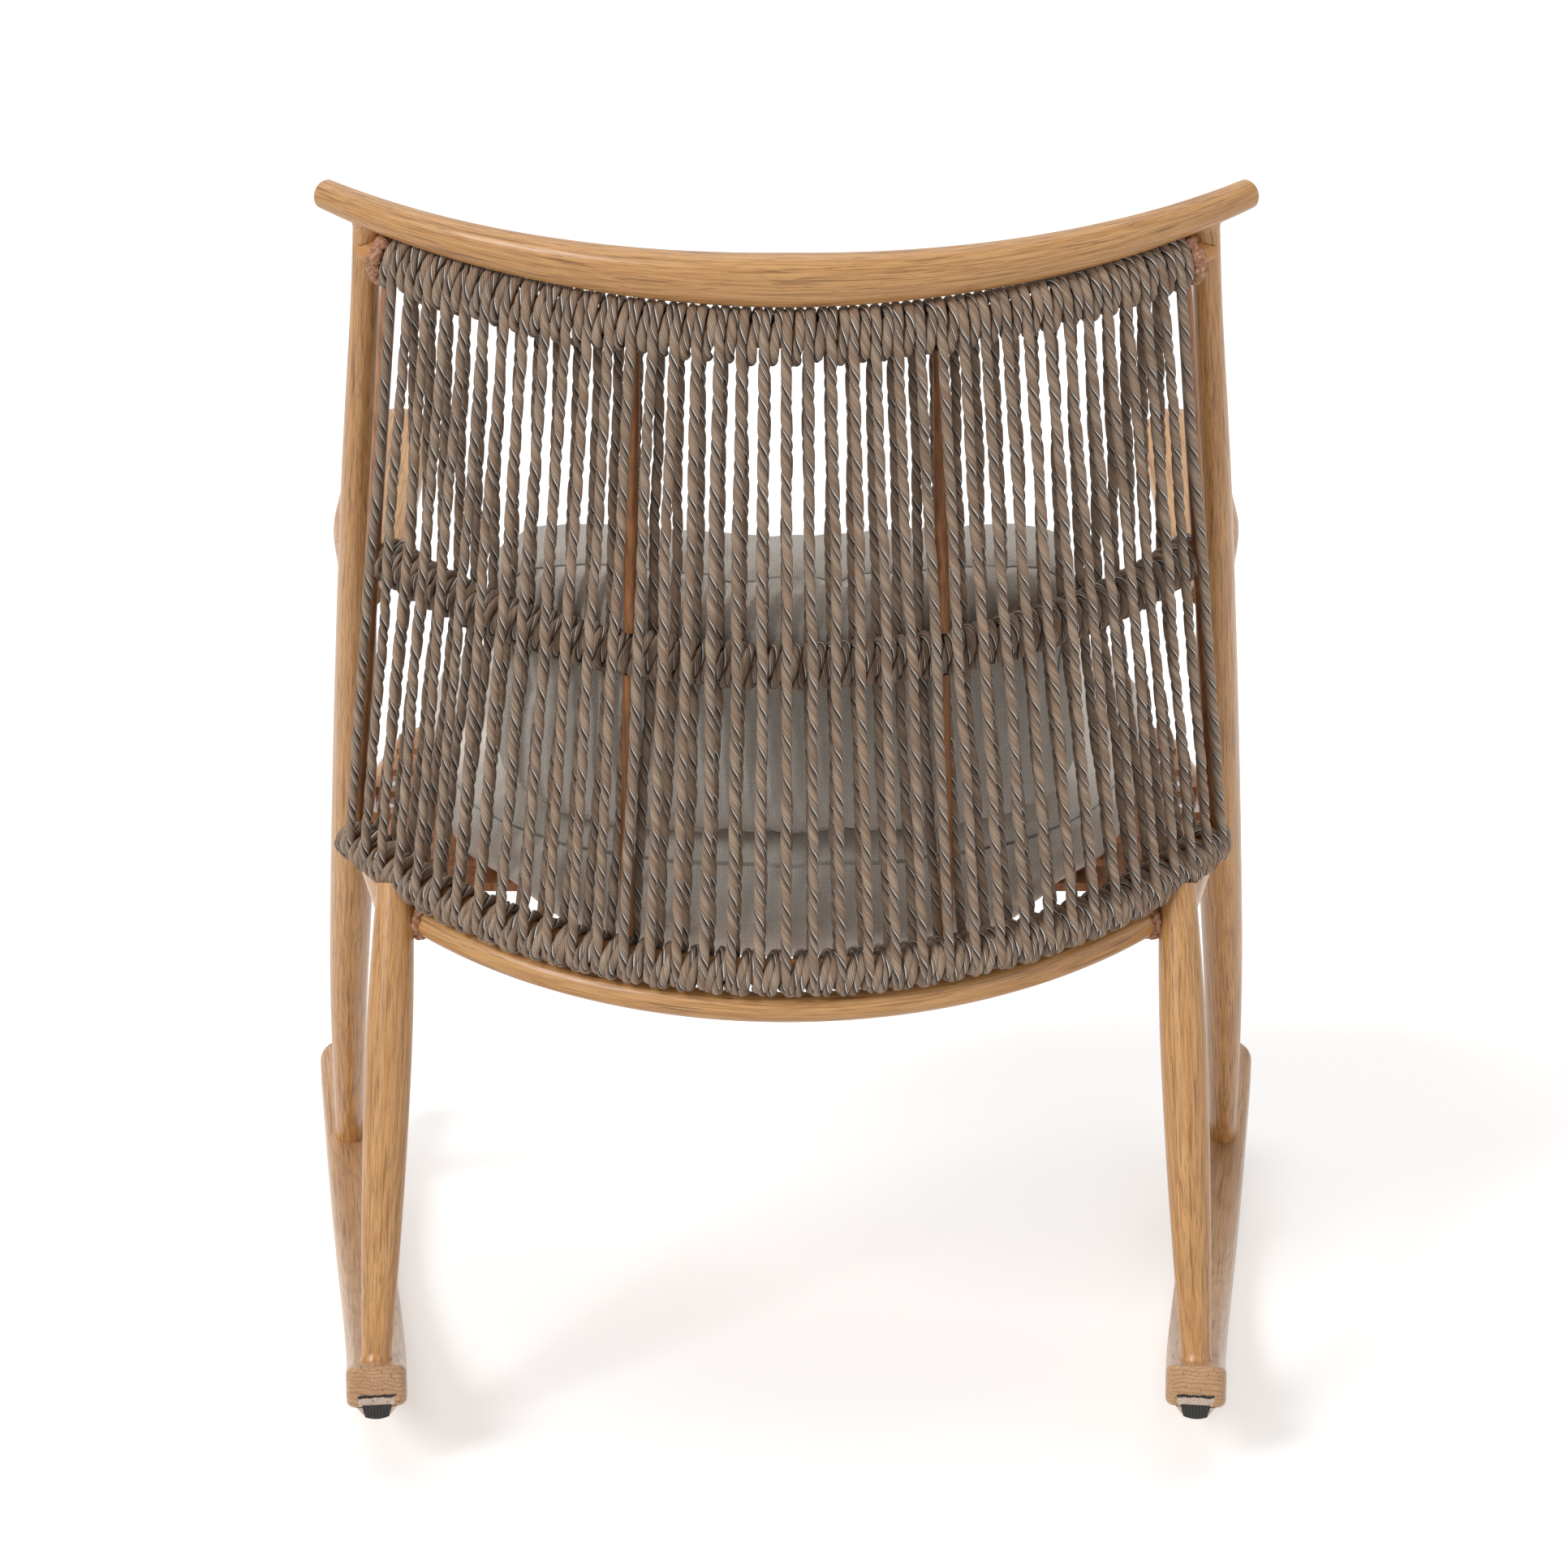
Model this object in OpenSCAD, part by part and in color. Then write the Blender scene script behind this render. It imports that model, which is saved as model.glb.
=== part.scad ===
// Outdoor rocking chair: wood-look tube frame, rope-wound barrel back and two loose cushions.
// Millimetres. The front of the chair is -Y, up is +Z, and the sitter's left is +X.
// The origin is the point midway between the runners where they touch the floor.

/* [Rockers] */
// Radius of a runner's underside
rocker_radius = 900; // [700:10:1300]
// Length of a runner along the floor, from nose to rear end
rocker_length = 620; // [580:5:700]
// Width of a runner
rocker_width = 40; // [36:1:50]
// Thickness of a runner
rocker_thick = 28; // [24:1:36]
// Half the distance between the runners' centre lines at mid length
rocker_half_gauge = 301; // [290:1:320]
// Angle by which each runner turns outwards towards the front
rocker_toe = 7.4; // [5:0.1:9]

/* [Legs] */
// Distance of the front leg's foot from the runner's nose
front_foot_inset = 117; // [95:1:140]
// Distance of the rear leg's foot ahead of the rubber pad
rear_foot_gap = 7; // [7:1:30]
// Radius of the front leg at its foot
front_foot_r = 9.8; // [8.5:0.1:12]
// Greatest radius of the upright that runs on as the front leg
upright_belly_r = 15.5; // [13:0.1:18]
// Radius of the upright under the crest
upright_top_r = 8.2; // [7.5:0.1:10]
// How much deeper than wide the upright's oval section is
upright_depth_ratio = 1.3; // [1:0.05:1.5]
// Radius of the rear leg at its foot
rear_foot_r = 9.9; // [8.5:0.1:12]
// Greatest radius of the rear leg
rear_belly_r = 15.7; // [13:0.1:18]
// Radius of the rear leg at its top
rear_top_r = 12.5; // [11:0.1:14]
// Distance of the rear leg's top from the middle of the chair
rear_leg_half = 262; // [256:1:266]

/* [Crest rail] */
// Half the crest rail's span
crest_half = 296; // [285:1:320]
// Height of the crest rail's ends
crest_end_z = 842; // [820:1:870]
// How far behind the origin the crest rail's ends are
crest_end_y = 186; // [170:1:200]
// How far the crest's middle stands behind its ends
crest_bow = 105; // [90:1:112]
// How far the crest's middle hangs below its ends
crest_dip = 35; // [25:1:45]
// Height of the crest's section at its middle
crest_mid_h = 35.5; // [30:0.5:40]
// Depth of the crest's section at its middle
crest_mid_d = 27; // [22:0.5:32]
// Diameter of the crest's ends
crest_end_d = 18.5; // [16:0.5:22]

/* [Back frame] */
// Outer radius of the tubes that the rope is wound on
rail_r = 8; // [7:0.5:9]
// Half the top rope rail's span
top_half = 250; // [240:1:255]
// Distance of the top rope rail's middle below the crest's middle
top_drop = 36; // [35:0.5:42]
// How far the top rope rail's middle stands behind its ends
top_bow = 75; // [65:1:85]
// How far the top rope rail's middle hangs below its ends
top_dip = 32; // [25:1:40]
// Distance of the top rope rail's middle ahead of the crest's middle
top_lead = 5; // [3:0.5:8]
// Half the middle rope rail's span
middle_half = 262; // [256:1:266]
// Height of the middle rope rail's ends
middle_end_z = 592; // [580:1:610]
// How far the middle rope rail's middle stands behind its ends
middle_bow = 108; // [100:1:112]
// How far the middle rope rail's middle hangs below its ends
middle_dip = 42; // [35:1:50]
// Half the bottom rope rail's span
bottom_half = 291; // [285:1:295]
// Height of the bottom rope rail's ends
bottom_end_z = 386; // [380:1:395]
// How far behind the origin the bottom rope rail's ends are
bottom_end_y = 108; // [100:1:115]
// How far the bottom rope rail's middle stands behind its ends
bottom_bow = 148; // [140:1:155]
// How far the bottom rope rail's middle hangs below its ends
bottom_dip = 44; // [38:1:50]
// Radius of the thin posts that close the back frame at its sides
post_r = 5; // [4:0.5:6]
// Radius of the two thin struts inside the back
strut_r = 4.5; // [4:0.5:5]
// Distance of a strut from the middle of the chair at its top
strut_top_x = 95; // [85:1:105]
// Distance of a strut from the middle of the chair at its foot
strut_foot_x = 105; // [95:1:115]

/* [Rope] */
// Diameter of the rope
rope_d = 7; // [6:0.25:7.5]
// Number of straight ropes in each of the two layers
rope_count = 39; // [31:2:39]
// Arc length left free of ropes at each end of a rail
rope_margin = 11; // [9:0.5:16]

/* [Seat frame] */
// Radius of the seat frame's tubes
seat_rail_r = 10; // [9:0.5:11]
// Height of the side rails' centre line at the rear legs
seat_rear_z = 338; // [334:1:344]
// Angle by which the seat rises towards the front
seat_rise = 3.8; // [2:0.1:5]
// How far ahead of the origin the front rail's centre line is
seat_front_y = 205; // [190:1:220]
// Half the span of the seat frame at its front corners
seat_front_half = 272; // [262:1:280]
// Radius of the front rail's corners
seat_corner_r = 45; // [35:1:60]
// How far the rear rail lies below the bottom rope rail
rear_rail_drop = 28; // [27.5:0.5:32]
// How far the rear rail lies ahead of the bottom rope rail
rear_rail_lead = 8; // [4:0.5:10]
// Number of slats across the seat
slat_count = 7; // [5:1:8]
// Width of a slat
slat_width = 30; // [24:1:34]
// Thickness of a slat
slat_thick = 6; // [5:0.5:8]

/* [Arms] */
// Greatest width of an arm
arm_width = 56; // [48:1:62]
// Thickness of an arm
arm_thick = 19; // [16:0.5:22]
// Height of an arm's top surface at its front tip
arm_tip_z = 607; // [590:1:620]
// How far ahead of the origin an arm's front tip is
arm_tip_y = 232; // [210:1:250]
// Distance of an arm's centre line from the middle of the chair at its tip
arm_tip_x = 280; // [270:1:290]
// Height at which an arm meets the upright
arm_root_z = 541; // [530:1:555]

/* [Cushions] */
// Depth of the seat cushion
seat_cushion_depth = 456; // [430:1:462]
// Half width of the seat cushion at its front
seat_cushion_half = 280; // [265:1:285]
// Thickness of the seat cushion at its edge
seat_cushion_edge = 56; // [45:1:62]
// Height by which the seat cushion crowns in its middle
seat_cushion_crown = 16; // [8:1:22]
// Width of the back cushion across its top corners
back_cushion_width = 436; // [400:1:440]
// Height of the back cushion
back_cushion_height = 212; // [190:1:225]
// Thickness of the back cushion at its middle
back_cushion_thick = 108; // [80:1:120]

/* [Small parts] */
// Diameter of the screws that hold the legs to the runners
screw_d = 6; // [5:0.5:6]
// Width of the rubber pad under each runner's rear end
pad_width = 20; // [16:1:22]
// Length of the rubber pad
pad_length = 34; // [28:1:40]
// How far the rubber pad stands below the runner
pad_proud = 8; // [5:0.5:10]

/* [Hidden] */
$fn = 48;

wood = "#C89B62";
runner_wood = "#C9A07A";
dark_wood = "#9A6238";
rope_colour = "#8C7A69";
cushion_colour = "#A5A09A";
steel = "#B8BABC";
rubber = "#2B2B2B";

// Small gap between pieces that lie against each other
fit = 0.3;
// Least distance of a piece's end past a surface that cuts it
bury = 6;

// Geometry of a bow: a circular arc that stands backwards and hangs down from its ends
function bow(half, end_y, end_z, back, down) = let (
    sag = sqrt(back * back + down * down),
    radius = (half * half + sag * sag) / (2 * sag)
) [radius, atan2(down, back), end_y + back, end_z - down, asin(half / radius)];
function bow_radius(b) = b[0];
function bow_tilt(b) = b[1];
function bow_angle(b) = b[4];
// Point of a bow at the angle a from its middle
function bow_point(b, a) = [
    b[0] * sin(a),
    b[2] - b[0] * (1 - cos(a)) * cos(b[1]),
    b[3] + b[0] * (1 - cos(a)) * sin(b[1])
];
// Direction of a bow at the angle a
function bow_along(b, a) = [cos(a), -sin(a) * cos(b[1]), sin(a) * sin(b[1])];
// Angle of the point of a bow at the distance x from the mid plane
function bow_at(b, x) = asin(x / b[0]);

function unit(v) = v / norm(v);
function mix(a, b, t) = a + (b - a) * t;
// Smooth step between 0 and 1
function ease(t) = t * t * (3 - 2 * t);

crest = bow(crest_half, crest_end_y, crest_end_z, crest_bow, crest_dip);
crest_mid_y = crest_end_y + crest_bow;
crest_mid_z = crest_end_z - crest_dip;
top = bow(top_half, crest_mid_y - top_lead - top_bow, crest_mid_z - top_drop + top_dip, top_bow, top_dip);
bottom = bow(bottom_half, bottom_end_y, bottom_end_z, bottom_bow, bottom_dip);
top_end = bow_point(top, bow_angle(top));
bottom_end = bow_point(bottom, bow_angle(bottom));
post_share = (middle_end_z - top_end.z) / (bottom_end.z - top_end.z);
post_at_middle = mix(top_end, bottom_end, post_share);
// The middle rail is set inwards, so that the rear ropes pass outside it
middle_inset = 8;
middle = bow(middle_half, post_at_middle.y - middle_inset, middle_end_z, middle_bow, middle_dip);

wrap_r = rail_r + rope_d;
// The rear seat rail repeats the bottom rope rail's bow, lower and further forward
rear_rail = bow(bottom_half, bottom_end_y - rear_rail_lead, bottom_end_z - rear_rail_drop, bottom_bow, bottom_dip);

// Runner, in its own upright plane: s runs rearwards along it from the lowest point
rocker_half = rocker_length / 2;
pad_rear_gap = 3;
pad_s = rocker_half - pad_rear_gap - pad_length / 2;
front_foot_s = front_foot_inset - rocker_half;
rear_foot_s = pad_s - pad_length / 2 - rear_foot_gap;
function runner_top(s) = let (inner = rocker_radius - rocker_thick)
    rocker_radius - sqrt(inner * inner - s * s);
// Place on the left runner's centre line at the height of its top surface
function on_runner(s) = [
    rocker_half_gauge - s * sin(rocker_toe),
    s * cos(rocker_toe),
    runner_top(s)
];
front_foot = on_runner(front_foot_s);
rear_foot = on_runner(rear_foot_s);

// The upright's axis runs in one straight line from the crest to the front foot
upright_clear = 15;
upright_top_angle = bow_at(crest, top_half + upright_clear);
upright_top = bow_point(crest, upright_top_angle);
upright_axis = front_foot - upright_top;
function upright_at_z(z) = upright_top + upright_axis * (z - upright_top.z) / upright_axis.z;

// The rear leg's top is tucked under the bottom rope rail, a little behind its centre line
rear_leg_tuck = [0, 7, -14];
rear_leg_top = bow_point(bottom, bow_at(bottom, rear_leg_half)) + rear_leg_tuck;
function seat_z(y) = seat_rear_z + (rear_leg_top.y - y) * tan(seat_rise);
seat_rear_corner = [rear_leg_top.x, rear_leg_top.y, seat_rear_z];
// Point where the upright's axis passes through the plane of the seat frame
upright_at_seat = upright_top + upright_axis
    * (seat_z(upright_top.y) - upright_top.z) / (upright_axis.z + upright_axis.y * tan(seat_rise));
seat_front_corner = [seat_front_half, -seat_front_y, seat_z(-seat_front_y)];

// A ring of points in the plane across d, with half axes a (sideways) and b (across that)
function oval(c, d, side, a, b, sides, power = 1) = let (
    ex = unit(side - d * (side * d)),
    ey = cross(d, ex)
) [for (i = [0 : sides - 1]) let (
    t = 360 * i / sides,
    cs = cos(t),
    sn = sin(t)
) c + ex * a * sign(cs) * pow(abs(cs), power) + ey * b * sign(sn) * pow(abs(sn), power)];

// Sides of a tube or bar that is skinned from rings
tube_sides = 20;

// Skin a list of rings into one closed solid
module skin(rings) {
    n = len(rings[0]);
    m = len(rings);
    points = [for (r = rings) each r];
    first = m * n;
    all = concat(points, [ring_centre(rings[0]), ring_centre(rings[m - 1])]);
    walls = [for (k = [0 : m - 2], i = [0 : n - 1]) let (
        a = k * n + i,
        b = k * n + (i + 1) % n,
        c = a + n,
        d = b + n
    ) each [[a, b, d], [a, d, c]]];
    caps = [for (i = [0 : n - 1]) each [
        [(i + 1) % n, i, first],
        [(m - 1) * n + i, (m - 1) * n + (i + 1) % n, first + 1]
    ]];
    polyhedron(all, [for (f = concat(walls, caps)) [f[2], f[1], f[0]]], convexity = 6);
}
function ring_centre(r) = [for (k = [0 : 2]) total([for (p = r) p[k]]) / len(r)];
function total(v, i = 0) = i < len(v) ? v[i] + total(v, i + 1) : 0;

// A round rod between two points
module rod(a, b, r) {
    v = b - a;
    translate(a)
        rotate([0, acos(v.z / norm(v)), atan2(v.y, v.x)])
            cylinder(h = norm(v), r = r);
}
// A turned piece between two points, whose radius follows the list of [share, radius]
module turned(a, b, profile) {
    v = b - a;
    length = norm(v);
    translate(a)
        rotate([0, acos(v.z / length), atan2(v.y, v.x)])
            rotate_extrude()
                polygon([
                    [0, profile[0][0] * length],
                    for (p = profile) [p[1], p[0] * length],
                    [0, profile[len(profile) - 1][0] * length]
                ]);
}
// A round bar of radius r along a bow, between two angles from its middle
module bow_bar(b, r, from, to) {
    translate([0, b[2] - b[0] * cos(b[1]), b[3] + b[0] * sin(b[1])])
        rotate([-b[1], 0, 0])
            rotate([0, 0, 90 - to])
                rotate_extrude(angle = to - from)
                    translate([b[0], 0])
                        circle(r);
}
// The same piece on the sitter's left or right
module on_side(left) {
    if (left) children();
    else mirror([1, 0, 0]) children();
}

// Crest rail: a tapered bow, oval in its middle and round at its ends
crest_rings = 30;
crest_taper = 1.25;
function crest_share(a) = pow(abs(a) / bow_angle(crest), crest_taper);
function crest_half_h(a) = mix(crest_mid_h, crest_end_d, crest_share(a)) / 2;
function crest_half_d(a) = mix(crest_mid_d, crest_end_d, crest_share(a)) / 2;
module crest_solid() {
    up = [0, sin(bow_tilt(crest)), cos(bow_tilt(crest))];
    skin([for (k = [0 : crest_rings]) let (
        a = bow_angle(crest) * (2 * k / crest_rings - 1)
    ) oval(bow_point(crest, a), bow_along(crest, a), up,
        crest_half_h(a), crest_half_d(a), tube_sides)]);
}
module crest_rail() {
    color(wood) crest_solid();
}

// Upright and front leg: one oval member, thickest below the seat
upright_shares = [0, 0.12, 0.25, 0.38, 0.5, 0.6, 0.7, 0.79, 0.87, 0.94, 1];
upright_belly_at = 0.62;
upright_foot_curve = 1.7;
// Share of the length over which the round top becomes oval
upright_oval_by = 1 / 3;
// How far a leg runs on past its foot point before the runner cuts it off
leg_overrun = 14;
function upright_r(t) = t < upright_belly_at
    ? mix(upright_top_r, upright_belly_r, ease(t / upright_belly_at))
    : mix(upright_belly_r, front_foot_r,
        pow((t - upright_belly_at) / (1 - upright_belly_at), upright_foot_curve));
module upright_solid() {
    d = unit(upright_axis);
    skin([for (t = upright_shares) let (
        r = upright_r(t),
        shift = t == 1 ? leg_overrun : 0
    ) oval(upright_top + upright_axis * t + d * shift, d, [1, 0, 0], r,
        r * mix(1, upright_depth_ratio, ease(min(1, t / upright_oval_by))), tube_sides)]);
}
module front_leg(left) {
    color(wood) on_side(left) difference() {
        upright_solid();
        crest_solid();
        rocker_blank();
        screw_hole(front_foot_s);
    }
}

// Rear leg: a straight turned leg from the seat's rear corner to the runner's rear end
rear_belly_at = 0.68;
rear_top_curve = 1.6;
function rear_r(t) = t < rear_belly_at
    ? mix(rear_foot_r, rear_belly_r, sin(90 * t / rear_belly_at))
    : mix(rear_belly_r, rear_top_r, pow((t - rear_belly_at) / (1 - rear_belly_at), rear_top_curve));
rear_leg_axis = unit(rear_leg_top - rear_foot);
module rear_leg_solid(grow = 0) {
    turned(rear_foot - rear_leg_axis * leg_overrun, rear_leg_top, [
        for (t = [0 : 0.1 : 1.001]) [t, rear_r(t) + grow]
    ]);
}
module rear_leg(left) {
    color(wood) on_side(left) difference() {
        rear_leg_solid();
        rocker_blank();
        bow_bar(bottom, wrap_r + fit, 0, bow_angle(bottom));
        screw_hole(rear_foot_s);
    }
}

// Runner: a bent board with a rounded nose, drilled for two screws and pocketed for the pad
module runner_frame() {
    translate([rocker_half_gauge, 0, 0])
        rotate([0, 0, rocker_toe])
            children();
}
rocker_facets = 200;
module rocker_blank() {
    runner_frame() intersection() {
        translate([-rocker_width / 2, 0, rocker_radius])
            rotate([90, 0, 90])
                linear_extrude(rocker_width)
                    difference() {
                        circle(rocker_radius, $fn = rocker_facets);
                        circle(rocker_radius - rocker_thick, $fn = rocker_facets);
                    }
        translate([0, 0, -1])
            linear_extrude(rocker_half)
                union() {
                    translate([-rocker_width / 2, rocker_width / 2 - rocker_half])
                        square([rocker_width, rocker_length - rocker_width / 2]);
                    translate([0, rocker_width / 2 - rocker_half])
                        circle(rocker_width / 2);
                }
    }
}
// Lean of the runner at the distance s from its lowest point
function runner_lean(s) = asin(s / rocker_radius);
// Moves its children to the runner's underside at s, with +Z into the board
module under_runner(s) {
    runner_frame()
        translate([0, s, rocker_radius * (1 - cos(runner_lean(s)))])
            rotate([runner_lean(s), 0, 0])
                children();
}
screw_head_d = 2 * screw_d;
screw_head_h = 4;
screw_sink = 8;
screw_reach = 24;
module screw_hole(s) {
    under_runner(s) {
        translate([0, 0, -bury]) cylinder(h = bury + screw_sink, d = screw_head_d + 2);
        translate([0, 0, screw_sink - 1])
            cylinder(h = rocker_thick - screw_sink + screw_reach + 2, d = screw_d + fit);
    }
}
pad_sunk = 8;
module pad_block(grow) {
    under_runner(pad_s)
        translate([-pad_width / 2 - grow, -pad_length / 2 - grow, -pad_proud])
            cube([pad_width + 2 * grow, pad_length + 2 * grow, pad_proud + pad_sunk]);
}
module rocker(left) {
    color(runner_wood) on_side(left) difference() {
        rocker_blank();
        screw_hole(front_foot_s);
        screw_hole(rear_foot_s);
        pad_block(fit / 2);
    }
}
// Rubber pad with grooves across its foot
pad_groove = 1.6;
pad_ribs = 6;
module rear_pad(left) {
    color(rubber) on_side(left) difference() {
        pad_block(0);
        under_runner(pad_s)
            for (i = [1 : pad_ribs - 1])
                translate([
                    -pad_width / 2 + pad_width * i / pad_ribs - pad_groove / 2,
                    -pad_length / 2 - 1,
                    -pad_proud - 1
                ])
                    cube([pad_groove, pad_length + 2, pad_groove + 1]);
    }
}
// Screws from below through the runners into the legs
module rocker_screw(s) {
    under_runner(s) {
        translate([0, 0, screw_sink - screw_head_h])
            cylinder(h = screw_head_h, d = screw_head_d);
        translate([0, 0, screw_sink - 0.5])
            cylinder(h = rocker_thick - screw_sink + screw_reach, d = screw_d);
    }
}
module rocker_screws() {
    color(steel)
        for (left = [true, false], s = [front_foot_s, rear_foot_s])
            on_side(left) rocker_screw(s);
}

// Seat frame
module seat_rear_rail() {
    reach = bow_at(rear_rail, rear_leg_top.x);
    color(wood) difference() {
        bow_bar(rear_rail, seat_rail_r, -reach, reach);
        rear_leg_solid(fit / 2);
        mirror([1, 0, 0]) rear_leg_solid(fit / 2);
    }
}
module side_rail_solid() {
    rod(seat_rear_corner, upright_at_seat, seat_rail_r);
}
module seat_side_rail(left) {
    color(wood) on_side(left) difference() {
        side_rail_solid();
        rear_leg_solid();
        upright_solid();
        bow_bar(rear_rail, seat_rail_r + fit / 2, 0, bow_angle(rear_rail));
    }
}
// The front rail is a U that starts at the uprights and turns two corners
corner_run = unit(seat_front_corner - upright_at_seat);
function bend_point(a, b, t) = mix(mix(a, seat_front_corner, t), mix(seat_front_corner, b, t), t);
module front_rail_path() {
    set_back = seat_corner_r;
    bend_start = seat_front_corner - corner_run * set_back;
    bend_end = seat_front_corner - [set_back, 0, 0];
    left_half = [
        upright_at_seat,
        for (t = [0 : 0.2 : 1]) bend_point(bend_start, bend_end, t)
    ];
    right_half = [for (i = [len(left_half) - 1 : -1 : 0]) [
        -left_half[i].x, left_half[i].y, left_half[i].z
    ]];
    path = concat(left_half, right_half);
    skin([for (i = [0 : len(path) - 1]) let (
        before = path[max(0, i - 1)],
        after = path[min(len(path) - 1, i + 1)]
    ) oval(path[i], unit(after - before), [0, 0, 1], seat_rail_r, seat_rail_r, tube_sides)]);
}
module seat_front_rail() {
    color(wood) difference() {
        front_rail_path();
        upright_solid();
        mirror([1, 0, 0]) upright_solid();
    }
}
// Half the clear span of the seat frame at y, measured to the side rails' centre lines
function seat_half(y) = y > upright_at_seat.y
    ? mix(upright_at_seat.x, seat_rear_corner.x,
        (y - upright_at_seat.y) / (seat_rear_corner.y - upright_at_seat.y))
    : mix(upright_at_seat.x, seat_front_corner.x,
        (y - upright_at_seat.y) / (seat_front_corner.y - upright_at_seat.y));
slat_first_y = -seat_front_y + seat_corner_r + slat_width / 2;
slat_rear_gap = 45;
slat_last_y = seat_rear_corner.y - slat_rear_gap;
function slat_y(i) = mix(slat_first_y, slat_last_y, i / (slat_count - 1));
// The slats end on top of the side rails, just inside their centre lines
slat_end_in = 1.5;
function slat_half(y) = seat_half(y) - slat_end_in;
// Height of a slat's underside above the side rails' centre line
slat_base = seat_rail_r / cos(seat_rise) + fit / 2;
// A slat is notched where an upright passes
slat_notch_gap = 1;
upright_at_slats = upright_at_z(upright_at_seat.z + slat_base + slat_thick / 2);
slat_notch_half = upright_belly_r * upright_depth_ratio * norm(upright_axis) / abs(upright_axis.z)
    + slat_notch_gap;
module on_slat(i) {
    y = slat_y(i);
    translate([0, y, seat_z(y) + slat_base])
        rotate([-seat_rise, 0, 0])
            children();
}
module slat_notch() {
    translate([
        upright_at_slats.x - upright_belly_r - slat_notch_gap,
        upright_at_slats.y - slat_notch_half,
        upright_at_seat.z
    ])
        cube([2 * upright_belly_r, 2 * slat_notch_half, 2 * seat_rail_r + slat_thick]);
}
module seat_slats() {
    color(dark_wood) difference() {
        for (i = [0 : slat_count - 1])
            on_slat(i)
                translate([-slat_half(slat_y(i)), -slat_width / 2, 0])
                    cube([2 * slat_half(slat_y(i)), slat_width, slat_thick]);
        slat_notch();
        mirror([1, 0, 0]) slat_notch();
        at_slat_screws() cylinder(h = slat_screw_h + 1, d = slat_screw_d + fit);
    }
}
// Screws sunk flush into the slats over the side rails
slat_screw_d = 8;
slat_screw_h = 1.6;
slat_screw_in = 18;
module at_slat_screws() {
    for (i = [0 : slat_count - 1], side = [-1, 1])
        on_slat(i)
            translate([side * (slat_half(slat_y(i)) - slat_screw_in), 0, slat_thick - slat_screw_h])
                children();
}
module slat_screws() {
    color(steel) at_slat_screws() cylinder(h = slat_screw_h, d = slat_screw_d);
}

// Back frame
// Angles by which the top and middle rails run on before the uprights and posts cut them
top_run_on = 3;
middle_run_on = 1.5;
module back_top_rail() {
    reach = bow_angle(top) + top_run_on;
    color(dark_wood) difference() {
        bow_bar(top, rail_r, -reach, reach);
        upright_solid();
        mirror([1, 0, 0]) upright_solid();
    }
}
module back_middle_rail() {
    reach = bow_angle(middle) + middle_run_on;
    color(dark_wood) difference() {
        bow_bar(middle, rail_r, -reach, reach);
        long_post();
        mirror([1, 0, 0]) long_post();
    }
}
module back_bottom_rail() {
    color(dark_wood) bow_bar(bottom, rail_r, -bow_angle(bottom), bow_angle(bottom));
}
// Side post: from the top rail's end to the bottom rail's end, then down to the side rail
post_foot_share = 0.356;
post_foot = mix(seat_rear_corner, upright_at_seat, post_foot_share);
// The weld at the knee stands a little proud of the post
knee_weld = 0.6;
module long_post() {
    rod(top_end, bottom_end, post_r);
}
module post_solid() {
    long_post();
    translate(bottom_end) sphere(post_r + knee_weld);
    rod(bottom_end, post_foot, post_r);
}
module back_post(left) {
    color(dark_wood) on_side(left) difference() {
        post_solid();
        bow_bar(top, rail_r, 0, bow_angle(top) + top_run_on);
        bow_bar(bottom, rail_r, 0, bow_angle(bottom));
        side_rail_solid();
    }
}
// Inner strut, in two lengths above and below the middle rail
strut_top = bow_point(top, bow_at(top, strut_top_x));
strut_mid = bow_point(middle, bow_at(middle, (strut_top_x + strut_foot_x) / 2));
strut_foot = bow_point(bottom, bow_at(bottom, strut_foot_x));
module back_strut(left) {
    color(dark_wood) on_side(left) difference() {
        union() {
            rod(strut_top, strut_mid, strut_r);
            rod(strut_mid, strut_foot, strut_r);
        }
        bow_bar(top, wrap_r + fit / 2, 0, bow_angle(top));
        bow_bar(middle, wrap_r + fit / 2, 0, bow_angle(middle));
        bow_bar(bottom, wrap_r + fit / 2, 0, bow_angle(bottom));
    }
}

// Rope wound round a rail, as the sleeve that its touching turns fill
module wrap(b, margin) {
    reach = bow_angle(b) - margin / bow_radius(b) * 180 / PI;
    color(rope_colour) difference() {
        bow_bar(b, wrap_r, -reach, reach);
        bow_bar(b, rail_r + fit / 2, -reach - 1, reach + 1);
    }
}
// A winding stops short of the side post
wrap_margin = post_r + 1;
module top_rail_wrap() { wrap(top, wrap_margin); }
module middle_rail_wrap() { wrap(middle, wrap_margin); }
module bottom_rail_wrap() { wrap(bottom, wrap_margin); }

// Ropes: each one lies against the outer or inner side of the rails it runs between
rope_off = rail_r + rope_d / 2 + fit;
function rope_angle(b, i) = let (
    reach = bow_angle(b) - rope_margin / bow_radius(b) * 180 / PI
) reach * (2 * i / (rope_count - 1) - 1);
// Centre of rope i where it touches rail b, on its way between rails a and b
function rope_touch(b, other, i, side) = let (
    p = bow_point(b, rope_angle(b, i)),
    q = bow_point(other, rope_angle(other, i)),
    down = unit(p.z > q.z ? q - p : p - q),
    out = unit(cross(bow_along(b, rope_angle(b, i)), down))
) p + out * side * rope_off;
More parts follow.
